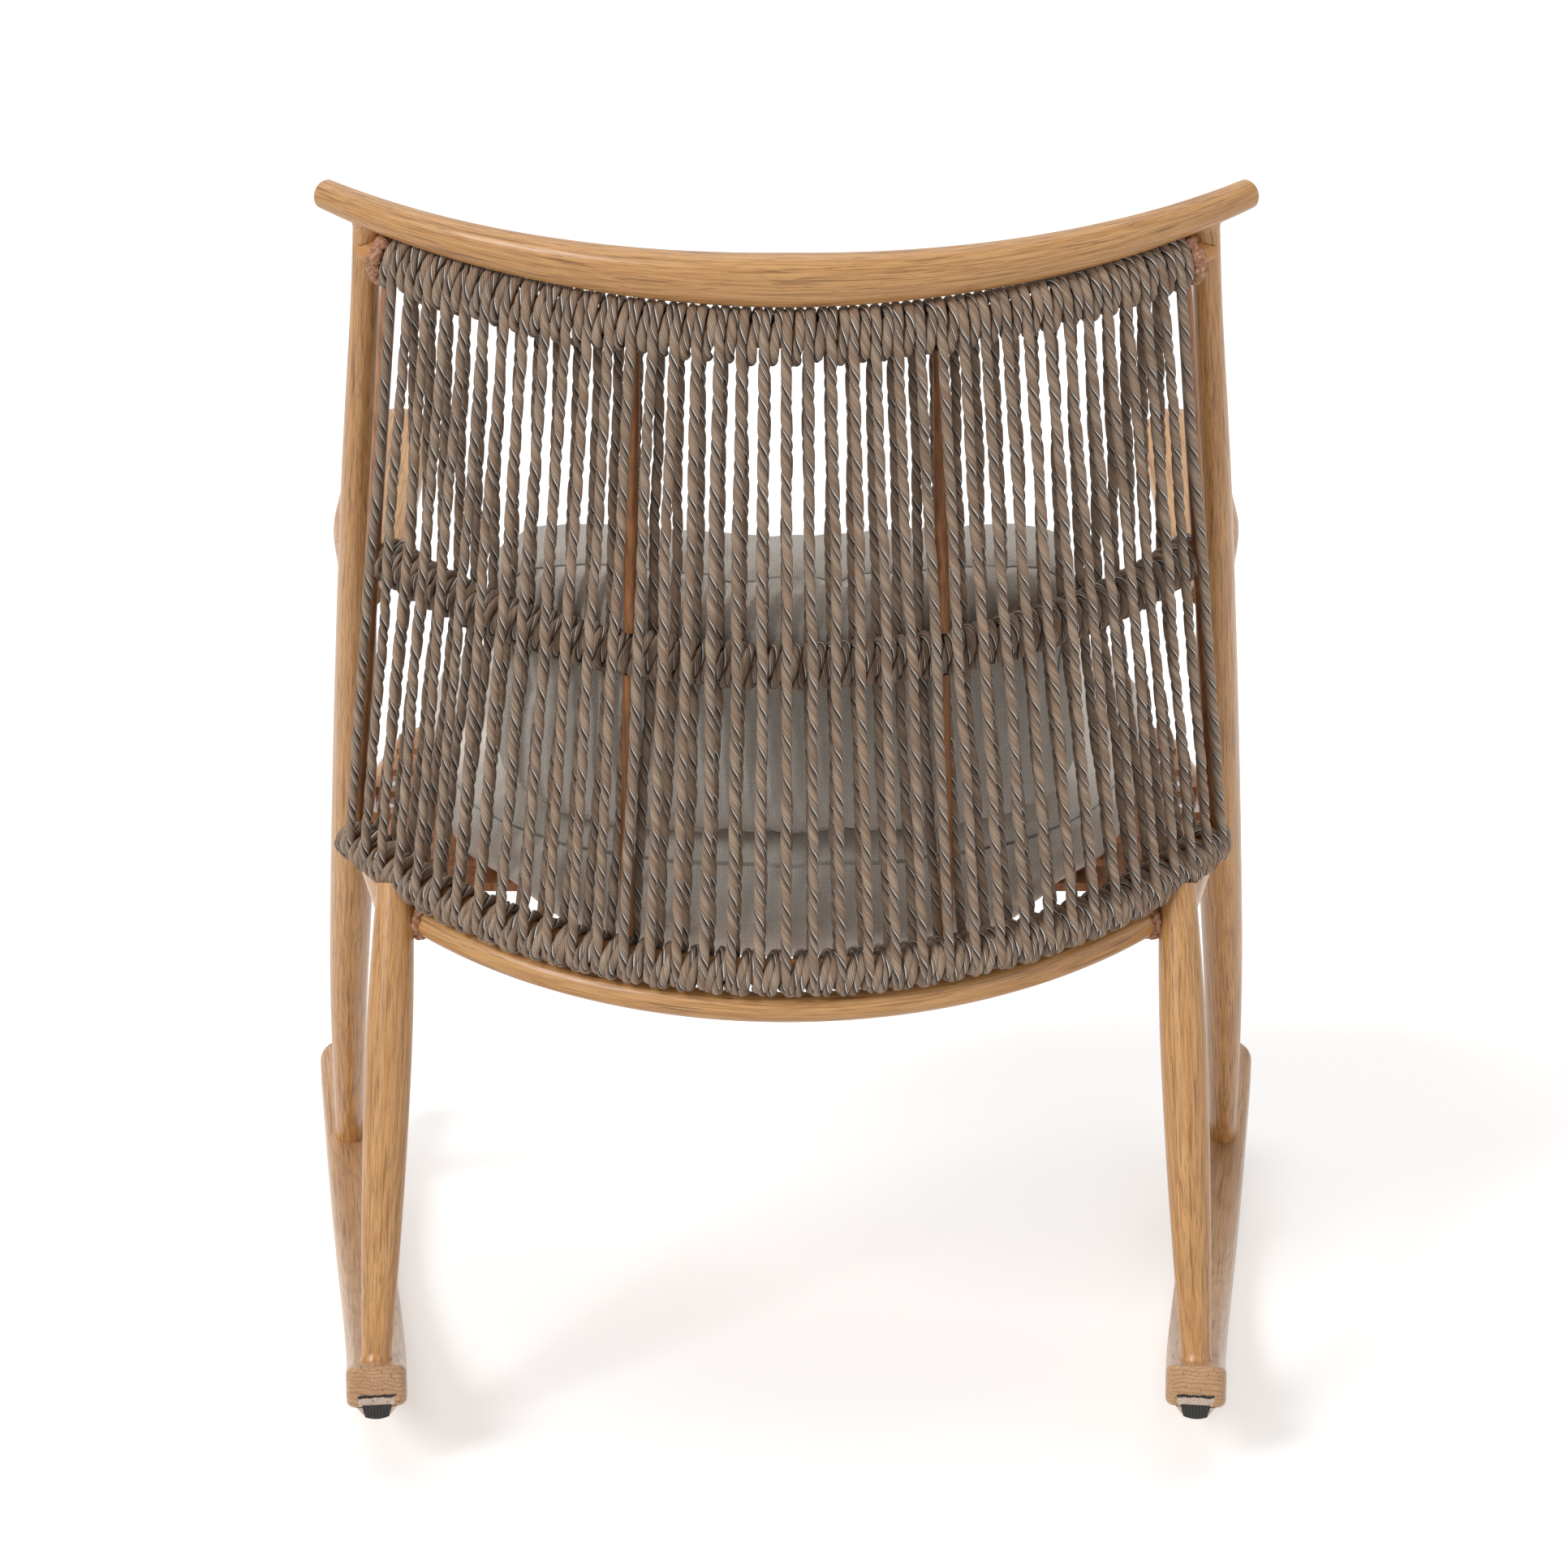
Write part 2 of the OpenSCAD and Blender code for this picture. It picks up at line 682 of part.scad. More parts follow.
// A straight rope stops this far short of the rails' levels, inside the windings' outline
rope_short = 5;
module rope(a, b, i, side) {
    p = rope_touch(a, b, i, side);
    q = rope_touch(b, a, i, side);
    v = unit(q - p) * rope_short;
    rod(p + v, q - v, rope_d / 2);
}
module ropes(a, b, side) {
    color(rope_colour) difference() {
        for (i = [0 : rope_count - 1]) rope(a, b, i, side);
        bow_bar(a, wrap_r + fit, -bow_angle(a), bow_angle(a));
        bow_bar(b, wrap_r + fit, -bow_angle(b), bow_angle(b));
    }
}
module rear_ropes() { ropes(top, bottom, 1); }
module front_upper_ropes() { ropes(top, middle, -1); }
module front_lower_ropes() { ropes(middle, bottom, -1); }

// Arm: a paddle that leaves the upright, bows outwards and ends in a round tip
arm_root = upright_at_z(arm_root_z);
arm_tip = [arm_tip_x, -arm_tip_y, arm_tip_z - arm_thick / 2];
// The arm's curve is drawn towards a point outside the straight line from root to tip
arm_belly_at = 0.42;
arm_belly_out = 2 * (arm_root.x - arm_tip.x) + 2;
arm_belly = mix(arm_root, arm_tip, arm_belly_at) + [arm_belly_out - (arm_root.x - arm_tip.x) * (1 - arm_belly_at), 0, 0];
arm_shares = [0, 0.1, 0.22, 0.36, 0.5, 0.62, 0.74, 0.84, 0.92, 0.97, 1];
// Shares of the arm's length by which it has its full width, and from which its tip rounds off
arm_wide_at = 0.45;
arm_round_at = 0.8;
arm_power = 0.75;
function arm_point(t) = mix(mix(arm_root, arm_belly, t), mix(arm_belly, arm_tip, t), t);
// Half the arm's width: narrow at the upright, wide over most of its length, round at the tip
function arm_tip_share(t) = (t - arm_round_at) / (1 - arm_round_at);
function arm_half(t) = arm_width / 2 * (t < arm_wide_at
    ? mix(0.5, 1, ease(t / arm_wide_at))
    : t < arm_round_at ? 1 : sqrt(max(0.02, 1 - pow(arm_tip_share(t), 2))));
module arm_solid() {
    skin([for (t = arm_shares) let (
        step = arm_point(min(1, t + 0.02)) - arm_point(max(0, t - 0.02)),
        rise = t < arm_round_at ? 1 : sqrt(max(0.06, 1 - pow(arm_tip_share(t), 4)))
    ) oval(arm_point(t), unit(step), [1, 0, 0], arm_half(t), arm_thick / 2 * rise,
        tube_sides, arm_power)]);
}
module arm(left) {
    color(wood) on_side(left) difference() {
        arm_solid();
        upright_solid();
    }
}

// Seat cushion: its rear edge follows the barrel of the back
rope_reach = wrap_r + fit;
// Room between the cushion's rear edge and the bottom winding at mid width
seat_rear_room = 16.7;
seat_cushion_rear = bottom_end_y + bottom_bow - rope_reach - seat_rear_room;
seat_cushion_front = seat_cushion_rear - seat_cushion_depth;
seat_mid_y = seat_cushion_rear - seat_cushion_depth / 2;
seat_outline_n = 48;
seat_taper = 44;
seat_rear_round = 118;
seat_corner_power = 0.42;
seat_pull = 5;
function seat_edge_half(y) = seat_cushion_half - seat_taper * (y - seat_cushion_front) / seat_cushion_depth;
function super(t, p) = sign(t) * pow(abs(t), p);
// Outline point at the angle a: a rounded box, drawn in between its corners
function seat_outline(a) = let (
    u = super(cos(a), seat_corner_power),
    v = super(sin(a), seat_corner_power),
    side_pull = seat_pull * (1 - v * v) * abs(u),
    end_pull = seat_pull * (1 - u * u) * abs(v),
    y0 = seat_mid_y + v * seat_cushion_depth / 2,
    x0 = u * seat_edge_half(y0),
    bowed = y0 - max(0, v) * seat_rear_round * pow(x0 / seat_cushion_half, 2)
) [x0 - sign(u) * side_pull, bowed - sign(v) * end_pull];
function seat_dome(x, y) = max(0, 1 - pow(x / seat_cushion_half, 2)) * max(0, 1 - pow(2 * y / seat_cushion_depth, 2));
// Height of the seat cushion's underside above the side rails' centre line
seat_base = slat_base + slat_thick + fit;
// One ring of the cushion: drawn in by the factor inset, at a share of the edge's height
function seat_ring(inset, share) = [for (i = [0 : seat_outline_n - 1]) let (
    p = seat_outline(360 * i / seat_outline_n),
    q = [p.x * inset, seat_mid_y + (p.y - seat_mid_y) * inset],
    crown = seat_dome(q.x, q.y - seat_mid_y) * share * seat_cushion_crown
) [q.x, q.y, seat_z(q.y) + seat_base + share * seat_cushion_edge + crown]];
// Pairs of inset and height share: a flat underside, a bulging boxing and a crowned top
seat_profile = [
    [0.3, 0], [0.6, 0],
    [0.9, 0], [0.965, 0.06], [0.992, 0.22], [1, 0.5], [0.992, 0.78], [0.965, 0.94], [0.9, 1],
    [0.6, 1], [0.3, 1]
];
module seat_cushion() {
    color(cushion_colour) skin([for (k = seat_profile) seat_ring(k[0], k[1])]);
}

// Back cushion: a small pillow bent to the barrel, with corners that stand out
// Room behind the leaning cushion, so that it rests against the middle winding
back_gap = 4.3;
back_outline_n = 48;
back_lean = 7;
back_corner_power = 0.5;
back_side_pull = 24;
back_end_pull = 9;
// The back cushion stands on the seat cushion's crown, so far above the level of its edge at the rear legs
back_rise = 0.7;
back_mid_z = seat_rear_z + seat_base + seat_cushion_edge + back_rise + back_cushion_height / 2;
// Y of the inner side of the ropes on a rail, at x
function rope_wall_y(b, x) = b[2] - rope_reach - (b[0] - rope_reach) * cos(b[1])
    + sqrt(pow(b[0] - rope_reach, 2) - x * x) * cos(b[1]);
function inner_wall_y(x) = min(rope_wall_y(middle, x), rope_wall_y(bottom, x));
function back_outline(a) = let (
    u = super(cos(a), back_corner_power),
    v = super(sin(a), back_corner_power)
) [
    u * back_cushion_width / 2 - sign(u) * back_side_pull * (1 - v * v) * abs(u),
    v * back_cushion_height / 2 - sign(v) * back_end_pull * (1 - u * u) * abs(v)
];
// Pairs of inset and share of half the thickness, from the rear face to the front face
back_profile = [
    [0.3, 1], [0.6, 0.99], [0.86, 0.94], [0.96, 0.8], [1, 0.45],
    [1, -0.45], [0.96, -0.8], [0.86, -0.94], [0.6, -0.99], [0.3, -1]
];
module back_cushion() {
    half = back_cushion_thick / 2;
    color(cushion_colour) skin([for (k = back_profile) [for (i = [0 : back_outline_n - 1]) let (
        q = back_outline(360 * i / back_outline_n) * k[0]
    ) [
        q.x,
        inner_wall_y(q.x) - back_gap - half + k[1] * half + q.y * tan(back_lean),
        back_mid_z + q.y - k[1] * half * tan(back_lean)
    ]]]);
}

crest_rail();
front_leg(true);  // left_front_leg
front_leg(false);  // right_front_leg
rear_leg(true);  // left_rear_leg
rear_leg(false);  // right_rear_leg
rocker(true);  // left_rocker
rocker(false);  // right_rocker
rear_pad(true);  // left_rear_pad
rear_pad(false);  // right_rear_pad
rocker_screws();
seat_rear_rail();
seat_front_rail();
seat_side_rail(true);  // left_seat_side_rail
seat_side_rail(false);  // right_seat_side_rail
seat_slats();
slat_screws();
back_top_rail();
back_middle_rail();
back_bottom_rail();
back_post(true);  // left_back_post
back_post(false);  // right_back_post
back_strut(true);  // left_back_strut
back_strut(false);  // right_back_strut
top_rail_wrap();
middle_rail_wrap();
bottom_rail_wrap();
rear_ropes();
front_upper_ropes();
front_lower_ropes();
arm(true);  // left_arm
arm(false);  // right_arm
seat_cushion();
back_cushion();
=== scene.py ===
from collections import namedtuple
import math
import bpy
import numpy as np
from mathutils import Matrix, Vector


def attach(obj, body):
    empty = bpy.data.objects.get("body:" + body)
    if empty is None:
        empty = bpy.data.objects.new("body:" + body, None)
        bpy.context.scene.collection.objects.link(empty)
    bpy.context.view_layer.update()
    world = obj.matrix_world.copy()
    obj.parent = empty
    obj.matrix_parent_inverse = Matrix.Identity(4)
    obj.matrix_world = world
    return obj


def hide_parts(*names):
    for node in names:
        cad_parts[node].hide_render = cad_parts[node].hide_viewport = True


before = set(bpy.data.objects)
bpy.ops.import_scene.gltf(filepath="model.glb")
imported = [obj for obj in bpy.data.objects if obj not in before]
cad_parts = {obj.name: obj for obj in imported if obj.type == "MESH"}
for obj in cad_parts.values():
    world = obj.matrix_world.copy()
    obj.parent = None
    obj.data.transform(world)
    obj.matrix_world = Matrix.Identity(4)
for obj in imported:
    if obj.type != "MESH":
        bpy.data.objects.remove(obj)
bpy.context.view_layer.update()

scene = bpy.context.scene
scene.view_settings.view_transform = "Standard"


# Camera: behind the chair and a little above it, three and a half metres away,
# with a long lens.
def pointed_at(target, place):
    """The turn that points a camera or a lamp at a target."""
    return (Vector(target) - Vector(place)).to_track_quat("-Z", "Y").to_euler()


camera_data = bpy.data.cameras.new("camera")
camera_data.sensor_width = 36
camera_data.lens = 115.4
camera = bpy.data.objects.new("camera", camera_data)
scene.collection.objects.link(camera)
camera.location = (0.0015, 3.334, 1.458)
camera.rotation_euler = pointed_at((0.0015, 0.023, 0.395), camera.location)
scene.camera = camera


# Studio: a pale floor that fills the view, an even white surround, and three soft distant lights:
# one over the camera's left shoulder, one from the right and one overhead.
def linear(code):
    """An sRGB hex colour as linear red, green, blue and 1."""
    parts = [int(code[i:i + 2], 16) / 255 for i in (1, 3, 5)]
    return [p / 12.92 if p <= 0.04045 else ((p + 0.055) / 1.055) ** 2.4 for p in parts] + [1]


def node(tree, kind, *inputs, **settings):
    """Adds a node of a kind, or takes one that is there, and gives it its settings and inputs.
    Inputs come in order or, in a dictionary, by name or number. Each one is a value, an output,
    or a node whose first output is meant."""
    n = tree.nodes.new(kind) if isinstance(kind, str) else kind
    for key, value in settings.items():
        setattr(n, key, value)
    given = inputs[0] if inputs and isinstance(inputs[0], dict) else dict(enumerate(inputs))
    for key, value in given.items():
        if isinstance(value, bpy.types.Node):
            value = value.outputs[0]
        if isinstance(value, bpy.types.NodeSocket):
            tree.links.new(value, n.inputs[key])
        else:
            n.inputs[key].default_value = value
    return n


def material(name):
    """A new material with its tree and its Principled shader."""
    m = bpy.data.materials.new(name)
    m.use_nodes = True
    return m, m.node_tree, m.node_tree.nodes["Principled BSDF"]


def seen_directly(tree):
    """1 for what the camera sees, also in a gloss or through a clear piece, and 0 for light on the object."""
    path = node(tree, "ShaderNodeLightPath").outputs
    camera, gloss, clear = (path["Is %s Ray" % kind] for kind in ("Camera", "Glossy", "Transmission"))
    bounced = node(tree, "ShaderNodeMath", gloss, clear, operation="MAXIMUM")
    return node(tree, "ShaderNodeMath", camera, bounced, operation="MAXIMUM")


world = bpy.data.worlds.new("studio")
world.use_nodes = True
tree = world.node_tree
world_light = 0.30
direct = seen_directly(tree)
shown = node(tree, "ShaderNodeMath", direct, 1 - world_light, world_light, operation="MULTIPLY_ADD")
node(tree, tree.nodes["Background"], {"Color": (1, 1, 1, 1), "Strength": shown})
scene.world = world

# Matt studio paper: a faint mottle and no gloss, so that it takes only a soft shadow
paper, tree, shader = material("matt_studio_paper")
mottle = node(tree, "ShaderNodeTexNoise", {"Scale": 3.0, "Detail": 3.0})
tone = node(tree, "ShaderNodeValToRGB", mottle)
for stop, code in zip(tone.color_ramp.elements, ("#EDECEB", "#F4F3F2")):
    stop.color = linear(code)
glow = node(tree, "ShaderNodeMath", seen_directly(tree), 0.50, operation="MULTIPLY")
node(tree, shader, {"Base Color": tone, "Emission Color": tone, "Emission Strength": glow, "Roughness": 0.9})
floor_half = 20
floor_mesh = bpy.data.meshes.new("floor")
floor_mesh.from_pydata(
    [(x * floor_half, y * floor_half, 0) for x, y in ((-1, -1), (1, -1), (1, 1), (-1, 1))], [], [(0, 1, 2, 3)])
floor_mesh.materials.append(paper)
floor = bpy.data.objects.new("floor", floor_mesh)
scene.collection.objects.link(floor)

for name, place, softness, power in (
    ("key", (2.2, 2.35, 2.7), 20, 1.55),
    ("side", (-2.6, 2.0, 1.7), 50, 0.38),
    ("top", (0.3, -0.6, 3.0), 60, 0.80),
):
    lamp = bpy.data.lights.new(name, "SUN")
    lamp.energy = power
    lamp.angle = math.radians(softness)
    lamp_object = bpy.data.objects.new(name, lamp)
    scene.collection.objects.link(lamp_object)
    lamp_object.location = place
    lamp_object.rotation_euler = pointed_at((0, 0, 0.4), lamp_object.location)


# Wood finishes: the frame's aluminium has a wood-grain coating, and the runners are bent teak boards.
# Both have a grain that follows each bar, and a thin satin coat.
def stretched_noise(tree, vector, stretch, detail=3.0):
    """Noise with about the given number of grains to a metre along each axis."""
    scaled = node(tree, "ShaderNodeVectorMath", vector, stretch, operation="MULTIPLY")
    return node(tree, "ShaderNodeTexNoise", {
        "Vector": scaled, "Scale": 1.0, "Detail": detail, "Roughness": 0.55})


def patches(tree, vector, stretch, detail, low, high):
    """Irregular patches: 0 where such a noise is below low and 1 where it is above high."""
    noise = stretched_noise(tree, vector, stretch, detail)
    return node(tree, "ShaderNodeMapRange", noise, low, high, interpolation_type="SMOOTHSTEP")


def weighed(tree, *terms):
    """The sum of some nodes, each times a number."""
    total = 0.0
    for term, weight in terms:
        total = node(tree, "ShaderNodeMath", term, weight, total, operation="MULTIPLY_ADD")
    return total


def painted(tree, tone, *layers):
    """Lays colours over a tone. Each has a mask from 0 to 1 and the share that shows where the mask is 1."""
    for mask, share, code in layers:
        cover = node(tree, "ShaderNodeMath", mask, share, operation="MULTIPLY")
        tone = node(tree, "ShaderNodeMix", {0: cover, 6: tone, 7: linear(code)}, data_type="RGBA").outputs[2]
    return tone


def wood_look(name, light, mid, dark, streak, ring_gap=0.0046, cut_ends=0.0):
    """Wood along a bar's grain attribute: growth rings, streaks, hair lines and pores. Real pores are about
    0.2 mm wide and are drawn at three times that, because finer ones don't show."""
    look, tree, shader = material(name)
    grain = node(tree, "ShaderNodeAttribute", attribute_name="grain").outputs["Vector"]
    warp = stretched_noise(tree, grain, (26, 26, 5.5), 2.0).outputs["Color"]
    shift = node(tree, "ShaderNodeVectorMath", warp, (0.5, 0.5, 0.5), operation="SUBTRACT")
    small = node(tree, "ShaderNodeVectorMath", shift, (0.022, 0.022, 0), operation="MULTIPLY")
    bent = node(tree, "ShaderNodeVectorMath", grain, small, operation="ADD")
    parts = node(tree, "ShaderNodeSeparateXYZ", bent).outputs
    # The pith lies outside the bar and slopes, so that the rings run out in arches
    x = node(tree, "ShaderNodeMath", parts["X"], 0.034, operation="ADD")
    y = node(tree, "ShaderNodeMath", parts["Z"], 0.035, parts["Y"], operation="MULTIPLY_ADD")
    squares = [node(tree, "ShaderNodeMath", side, side, operation="MULTIPLY") for side in (x, y)]
    radius = node(tree, "ShaderNodeMath", *squares, operation="ADD")
    radius = node(tree, "ShaderNodeMath", radius, operation="SQRT")
    wave = node(tree, "ShaderNodeMath", radius, 2 * math.pi / ring_gap, operation="MULTIPLY")
    wave = node(tree, "ShaderNodeMath", wave, operation="SINE")
    rings = node(tree, "ShaderNodeMapRange", wave, -0.9, 1.0, interpolation_type="SMOOTHSTEP")
    late = node(tree, "ShaderNodeMapRange", wave, 0.72, 1.0, interpolation_type="SMOOTHSTEP")
    # Where the board is cut square, its rings show more
    facing = node(tree, "ShaderNodeTexCoord").outputs["Normal"]
    facing = node(tree, "ShaderNodeSeparateXYZ", facing).outputs["Y"]
    square_on = node(tree, "ShaderNodeMath", facing, operation="ABSOLUTE")
    cut = node(tree, "ShaderNodeMapRange", square_on, 0.80, 0.97, interpolation_type="SMOOTHSTEP")
    late_share = node(tree, "ShaderNodeMath", cut, 0.45 * cut_ends, 0.20, operation="MULTIPLY_ADD")
    fibre = stretched_noise(tree, grain, (1300, 1300, 22))
    streaks = node(tree, "ShaderNodeMapRange", fibre, 0.42, 0.66, interpolation_type="SMOOTHSTEP")
    pores = patches(tree, grain, (1500, 1500, 60), 2.0, 0.60, 0.70)
    hairs = patches(tree, grain, (520, 520, 16), 2.0, 0.58, 0.67)
    pale = patches(tree, grain, (45, 45, 6), 2.0, 0.3, 0.7)
    tone = painted(
        tree, linear(light), (weighed(tree, (pale, 0.45), (rings, 0.30)), 1.0, mid), (streaks, 0.58, streak),
        (late, late_share, streak), (pores, 0.55, dark), (hairs, 0.50, dark),
    )
    height = weighed(tree, (rings, -0.25), (fibre, 0.5), (pores, -0.7))
    node(tree, shader, {
        "Base Color": tone,
        "Roughness": node(tree, "ShaderNodeMath", fibre, 0.16, 0.27, operation="MULTIPLY_ADD"),
        "Normal": node(tree, "ShaderNodeBump", {"Height": height, "Strength": 0.28, "Distance": 0.0006}),
        "Specular IOR Level": 0.36, "Coat Weight": 0.30, "Coat Roughness": 0.26,
    })
    return look


# Aluminium with a baked wood-grain coating: warm and even, with dark streaks and a satin gloss
grain_coat = wood_look("wood_grain_coated_aluminium", "#D8A56B", "#C28D56", "#5E3C20", "#9A6736")
# Steam-bent teak, sanded and oiled: paler and pinker, with closer rings that show at its cut ends
bent_teak = wood_look("steam_bent_teak", "#D2A97F", "#BD9066", "#6E4A2E", "#9C7048", 0.0030, 1.0)


# Crest rail: one tapered aluminium casting with the wood-grain coating, bowed back and down, with softly
# rounded ends that overhang the uprights. It is taller than deep in the middle and round at the ends.
Bow = namedtuple("Bow", "radius tilt y z half_angle")


def unit(v):
    """Vectors of length one in the same directions."""
    v = np.asarray(v, float)
    return v / np.linalg.norm(v, axis=-1, keepdims=True)


def fixed(piece, slot, *nodes):
    """Fixes a piece to the frame, in place of the given solids."""
    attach(piece, "frame")
    if nodes:
        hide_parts(*nodes)


def mesh_piece(name, points, faces, look, grain=None):
    """A smooth mesh object at the origin, with a grain place for each point."""
    mesh = bpy.data.meshes.new(name)
    mesh.from_pydata(np.asarray(points, float).tolist(), [], faces)
    mesh.shade_smooth()
    if grain is not None:
        layer = mesh.attributes.new("grain", "FLOAT_VECTOR", "POINT")
        layer.data.foreach_set("vector", np.asarray(grain, np.float32).ravel())
    mesh.materials.append(look)
    piece = bpy.data.objects.new(name, mesh)
    scene.collection.objects.link(piece)
    return piece


def with_middles(rings):
    """All points of some rings, and after them the middles of the first and the last ring."""
    return np.concatenate([rings.reshape(-1, 3), rings[[0, -1]].mean(axis=1)])


def skin_faces(count, sides):
    """Faces of a closed skin over rings of points with their two middles."""
    faces = [
        (k * sides + i, k * sides + (i + 1) % sides, (k + 1) * sides + (i + 1) % sides, (k + 1) * sides + i)
        for k in range(count - 1) for i in range(sides)
    ]
    last = (count - 1) * sides
    faces += [((i + 1) % sides, i, count * sides) for i in range(sides)]
    return faces + [(last + i, last + (i + 1) % sides, count * sides + 1) for i in range(sides)]


def loft(name, path, side, rings, look, grain_from, along=None):
    """A closed bar along a path. rings holds, for each point of the path, its outline as pairs along side and
    across it. The outlines stand square to the path, or to along where that is given."""
    path, rings = np.asarray(path, float), np.asarray(rings, float)
    along = np.gradient(path, axis=0) if along is None else along
    along, side = unit(np.broadcast_to(along, path.shape)), np.broadcast_to(side, path.shape)
    ex = unit(side - along * np.sum(side * along, axis=1, keepdims=True))
    ey = np.cross(along, ex)
    points = path[:, None] + ex[:, None] * rings[:, :, :1] + ey[:, None] * rings[:, :, 1:]
    run = np.concatenate([[0], np.cumsum(np.linalg.norm(np.diff(path, axis=0), axis=1))]) + grain_from
    runs = np.broadcast_to(run[:, None, None], (*rings.shape[:2], 1))
    grain = with_middles(np.concatenate([rings, runs], axis=2))
    return mesh_piece(name, with_middles(points), skin_faces(*rings.shape[:2]), look, grain)


def ovals(half_a, half_b, power=1.0, sides=44):
    """Oval outlines with the given half widths at each point of a path."""
    t = np.arange(sides) * 2 * math.pi / sides
    c = np.sign(np.cos(t)) * np.abs(np.cos(t)) ** power
    s = np.sign(np.sin(t)) * np.abs(np.sin(t)) ** power
    half_a, half_b = np.broadcast_arrays(np.asarray(half_a, float), np.asarray(half_b, float))
    return np.stack([half_a[:, None] * c, half_b[:, None] * s], axis=2)


def bow(half, end_y, end_z, back, down):
    """A circular arc that stands back and hangs down from its two ends, half to each side."""
    sag = math.hypot(back, down)
    radius = (half * half + sag * sag) / (2 * sag)
    return Bow(radius, math.atan2(down, back), end_y + back, end_z - down, math.asin(half / radius))


def on_bow(b, a):
    """Place on a bow at the angle a from its middle."""
    a = np.asarray(a, float)
    drop = b.radius * (1 - np.cos(a))
    y, z = b.y - drop * math.cos(b.tilt), b.z + drop * math.sin(b.tilt)
    return np.stack([b.radius * np.sin(a), y, z], axis=-1)


def bow_run(b, a):
    """Direction along a bow at the angle a."""
    a = np.asarray(a, float)
    return np.stack([np.cos(a), -np.sin(a) * math.cos(b.tilt), np.sin(a) * math.sin(b.tilt)], axis=-1)


def soft_ends(run, length, size, radius):
    """Factor on a bar's radius that rounds off both its ends, given the distance along it."""
    near = np.minimum(run, length - run)
    u = np.clip((size - near) / size, 0, 1)
    return 1 - size / radius * (1 - np.sqrt(np.maximum(0, 1 - u * u)))


def bar_steps(length, end, fine=9, coarse=90):
    """Distances along a bar, close together near its ends."""
    first = end * (1 - np.cos(np.linspace(0, math.pi / 2, fine)))
    middle = np.linspace(end, length - end, coarse)[1:-1]
    return np.concatenate([first, middle, (length - first)[::-1]])


crest = bow(half=0.296, end_y=0.186, end_z=0.842, back=0.105, down=0.035)
crest_high, crest_deep, crest_tip = 0.0355, 0.027, 0.0185
crest_length = 2 * crest.radius * crest.half_angle - 0.005
steps = bar_steps(crest_length, 0.006)
crest_angle = (steps - crest_length / 2) / crest.radius
taper = (np.abs(crest_angle) / crest.half_angle) ** 1.25
half_h = (crest_high + (crest_tip - crest_high) * taper) / 2
half_d = (crest_deep + (crest_tip - crest_deep) * taper) / 2
end_factor = soft_ends(steps, crest_length, 0.0030, crest_tip / 2)
crest_up = (0, math.sin(crest.tilt), math.cos(crest.tilt))
crest_rail = loft("crest_rail_bar", on_bow(crest, crest_angle), crest_up,
                  ovals(half_h * end_factor, half_d * end_factor, 0.94), grain_coat, 0.4)
fixed(crest_rail, "frame_wood", "crest_rail")


# Uprights: each is one oval aluminium tube with the wood-grain coating, from the crest to the runner, where it
# is welded and screwed. It swells and bows outwards below the seat, and its fillet under the crest is wider
# on the inner side.
sides = (("left", 1), ("right", -1))
runner_radius, runner_thick, half_gauge, toe = 0.900, 0.028, 0.301, math.radians(7.4)


def smooth(t):
    """From 0 to 1 as t goes from 0 to 1, flat at both ends."""
    t = np.clip(t, 0, 1)
    return t * t * (3 - 2 * t)


def hump(value, at, width):
    """1 where value is at the given one, dying away over width on both sides."""
    return np.exp(-((value - at) / width) ** 2)


def runner_line(s, depth=0.0):
    """Place on the left runner's centre line, depth metres below its top. Its rear half bends out a little."""
    s = np.asarray(s, float)
    out = half_gauge - s * math.sin(toe) + 0.0085 * (np.maximum(0, s) / 0.31) ** 2
    up = runner_radius - np.sqrt((runner_radius - runner_thick + depth) ** 2 - s ** 2)
    return np.stack([out, s * math.cos(toe), up], axis=-1)


def stations(limits, counts):
    """Shares of a bar's length, with the given number of points from each limit to the next."""
    runs = [np.linspace(a, b, count)[1:] for a, b, count in zip(limits, limits[1:], counts)]
    return np.concatenate([limits[:1], *runs])


def flare(distance, start, reach, size):
    """Extra radius of a fillet that dies away over reach."""
    u = np.clip(1 - (distance - start) / reach, 0, 1.15)
    return size * u * u


def mirrored(points, sign):
    """Points of the left side, moved to the right where sign is -1."""
    return np.asarray(points, float) * (sign, 1, 1)


upright_top = on_bow(crest, math.asin(0.265 / crest.radius))
front_foot = runner_line(-0.193)
upright_run = front_foot - upright_top
upright_length = float(np.linalg.norm(upright_run))
t = stations((0, 0.07, 0.95, 1.012), (22, 100, 20))
head, widest, foot, widest_at = 0.0092, 0.0155, 0.0098, 0.62
swell = np.where(t < widest_at, head + (widest - head) * smooth(t / widest_at),
                 widest + (foot - widest) * np.clip((t - widest_at) / (1 - widest_at), 0, 1) ** 1.7)
deep = 0.82 + 0.48 * smooth(t * 3)
down = t * upright_length
fillet = flare(down, 0.0085, 0.008, 0.0026) + flare(upright_length - down, 0.0, 0.006, 0.0012)
web = flare(down, 0.0085, 0.014, 0.0042)
outward = 0.0026 * smooth((t - 0.05) / 0.25) + 0.0021 * hump(t, 0.82, 0.16) - 0.0010 * (1 - smooth(t / 0.2))
outward = outward - web / 2
line = upright_top + upright_run * t[:, None] + outward[:, None] * (1, 0, 0)
for (side, sign), grain_from in zip(sides, (1.3, 2.9)):
    upright = loft(side + "_upright", mirrored(line, sign), (1, 0, 0),
                   ovals(swell + fillet + web / 2, (swell + 0.4 * fillet) * deep), grain_coat, grain_from)
    fixed(upright, "frame_wood", side + "_front_leg")


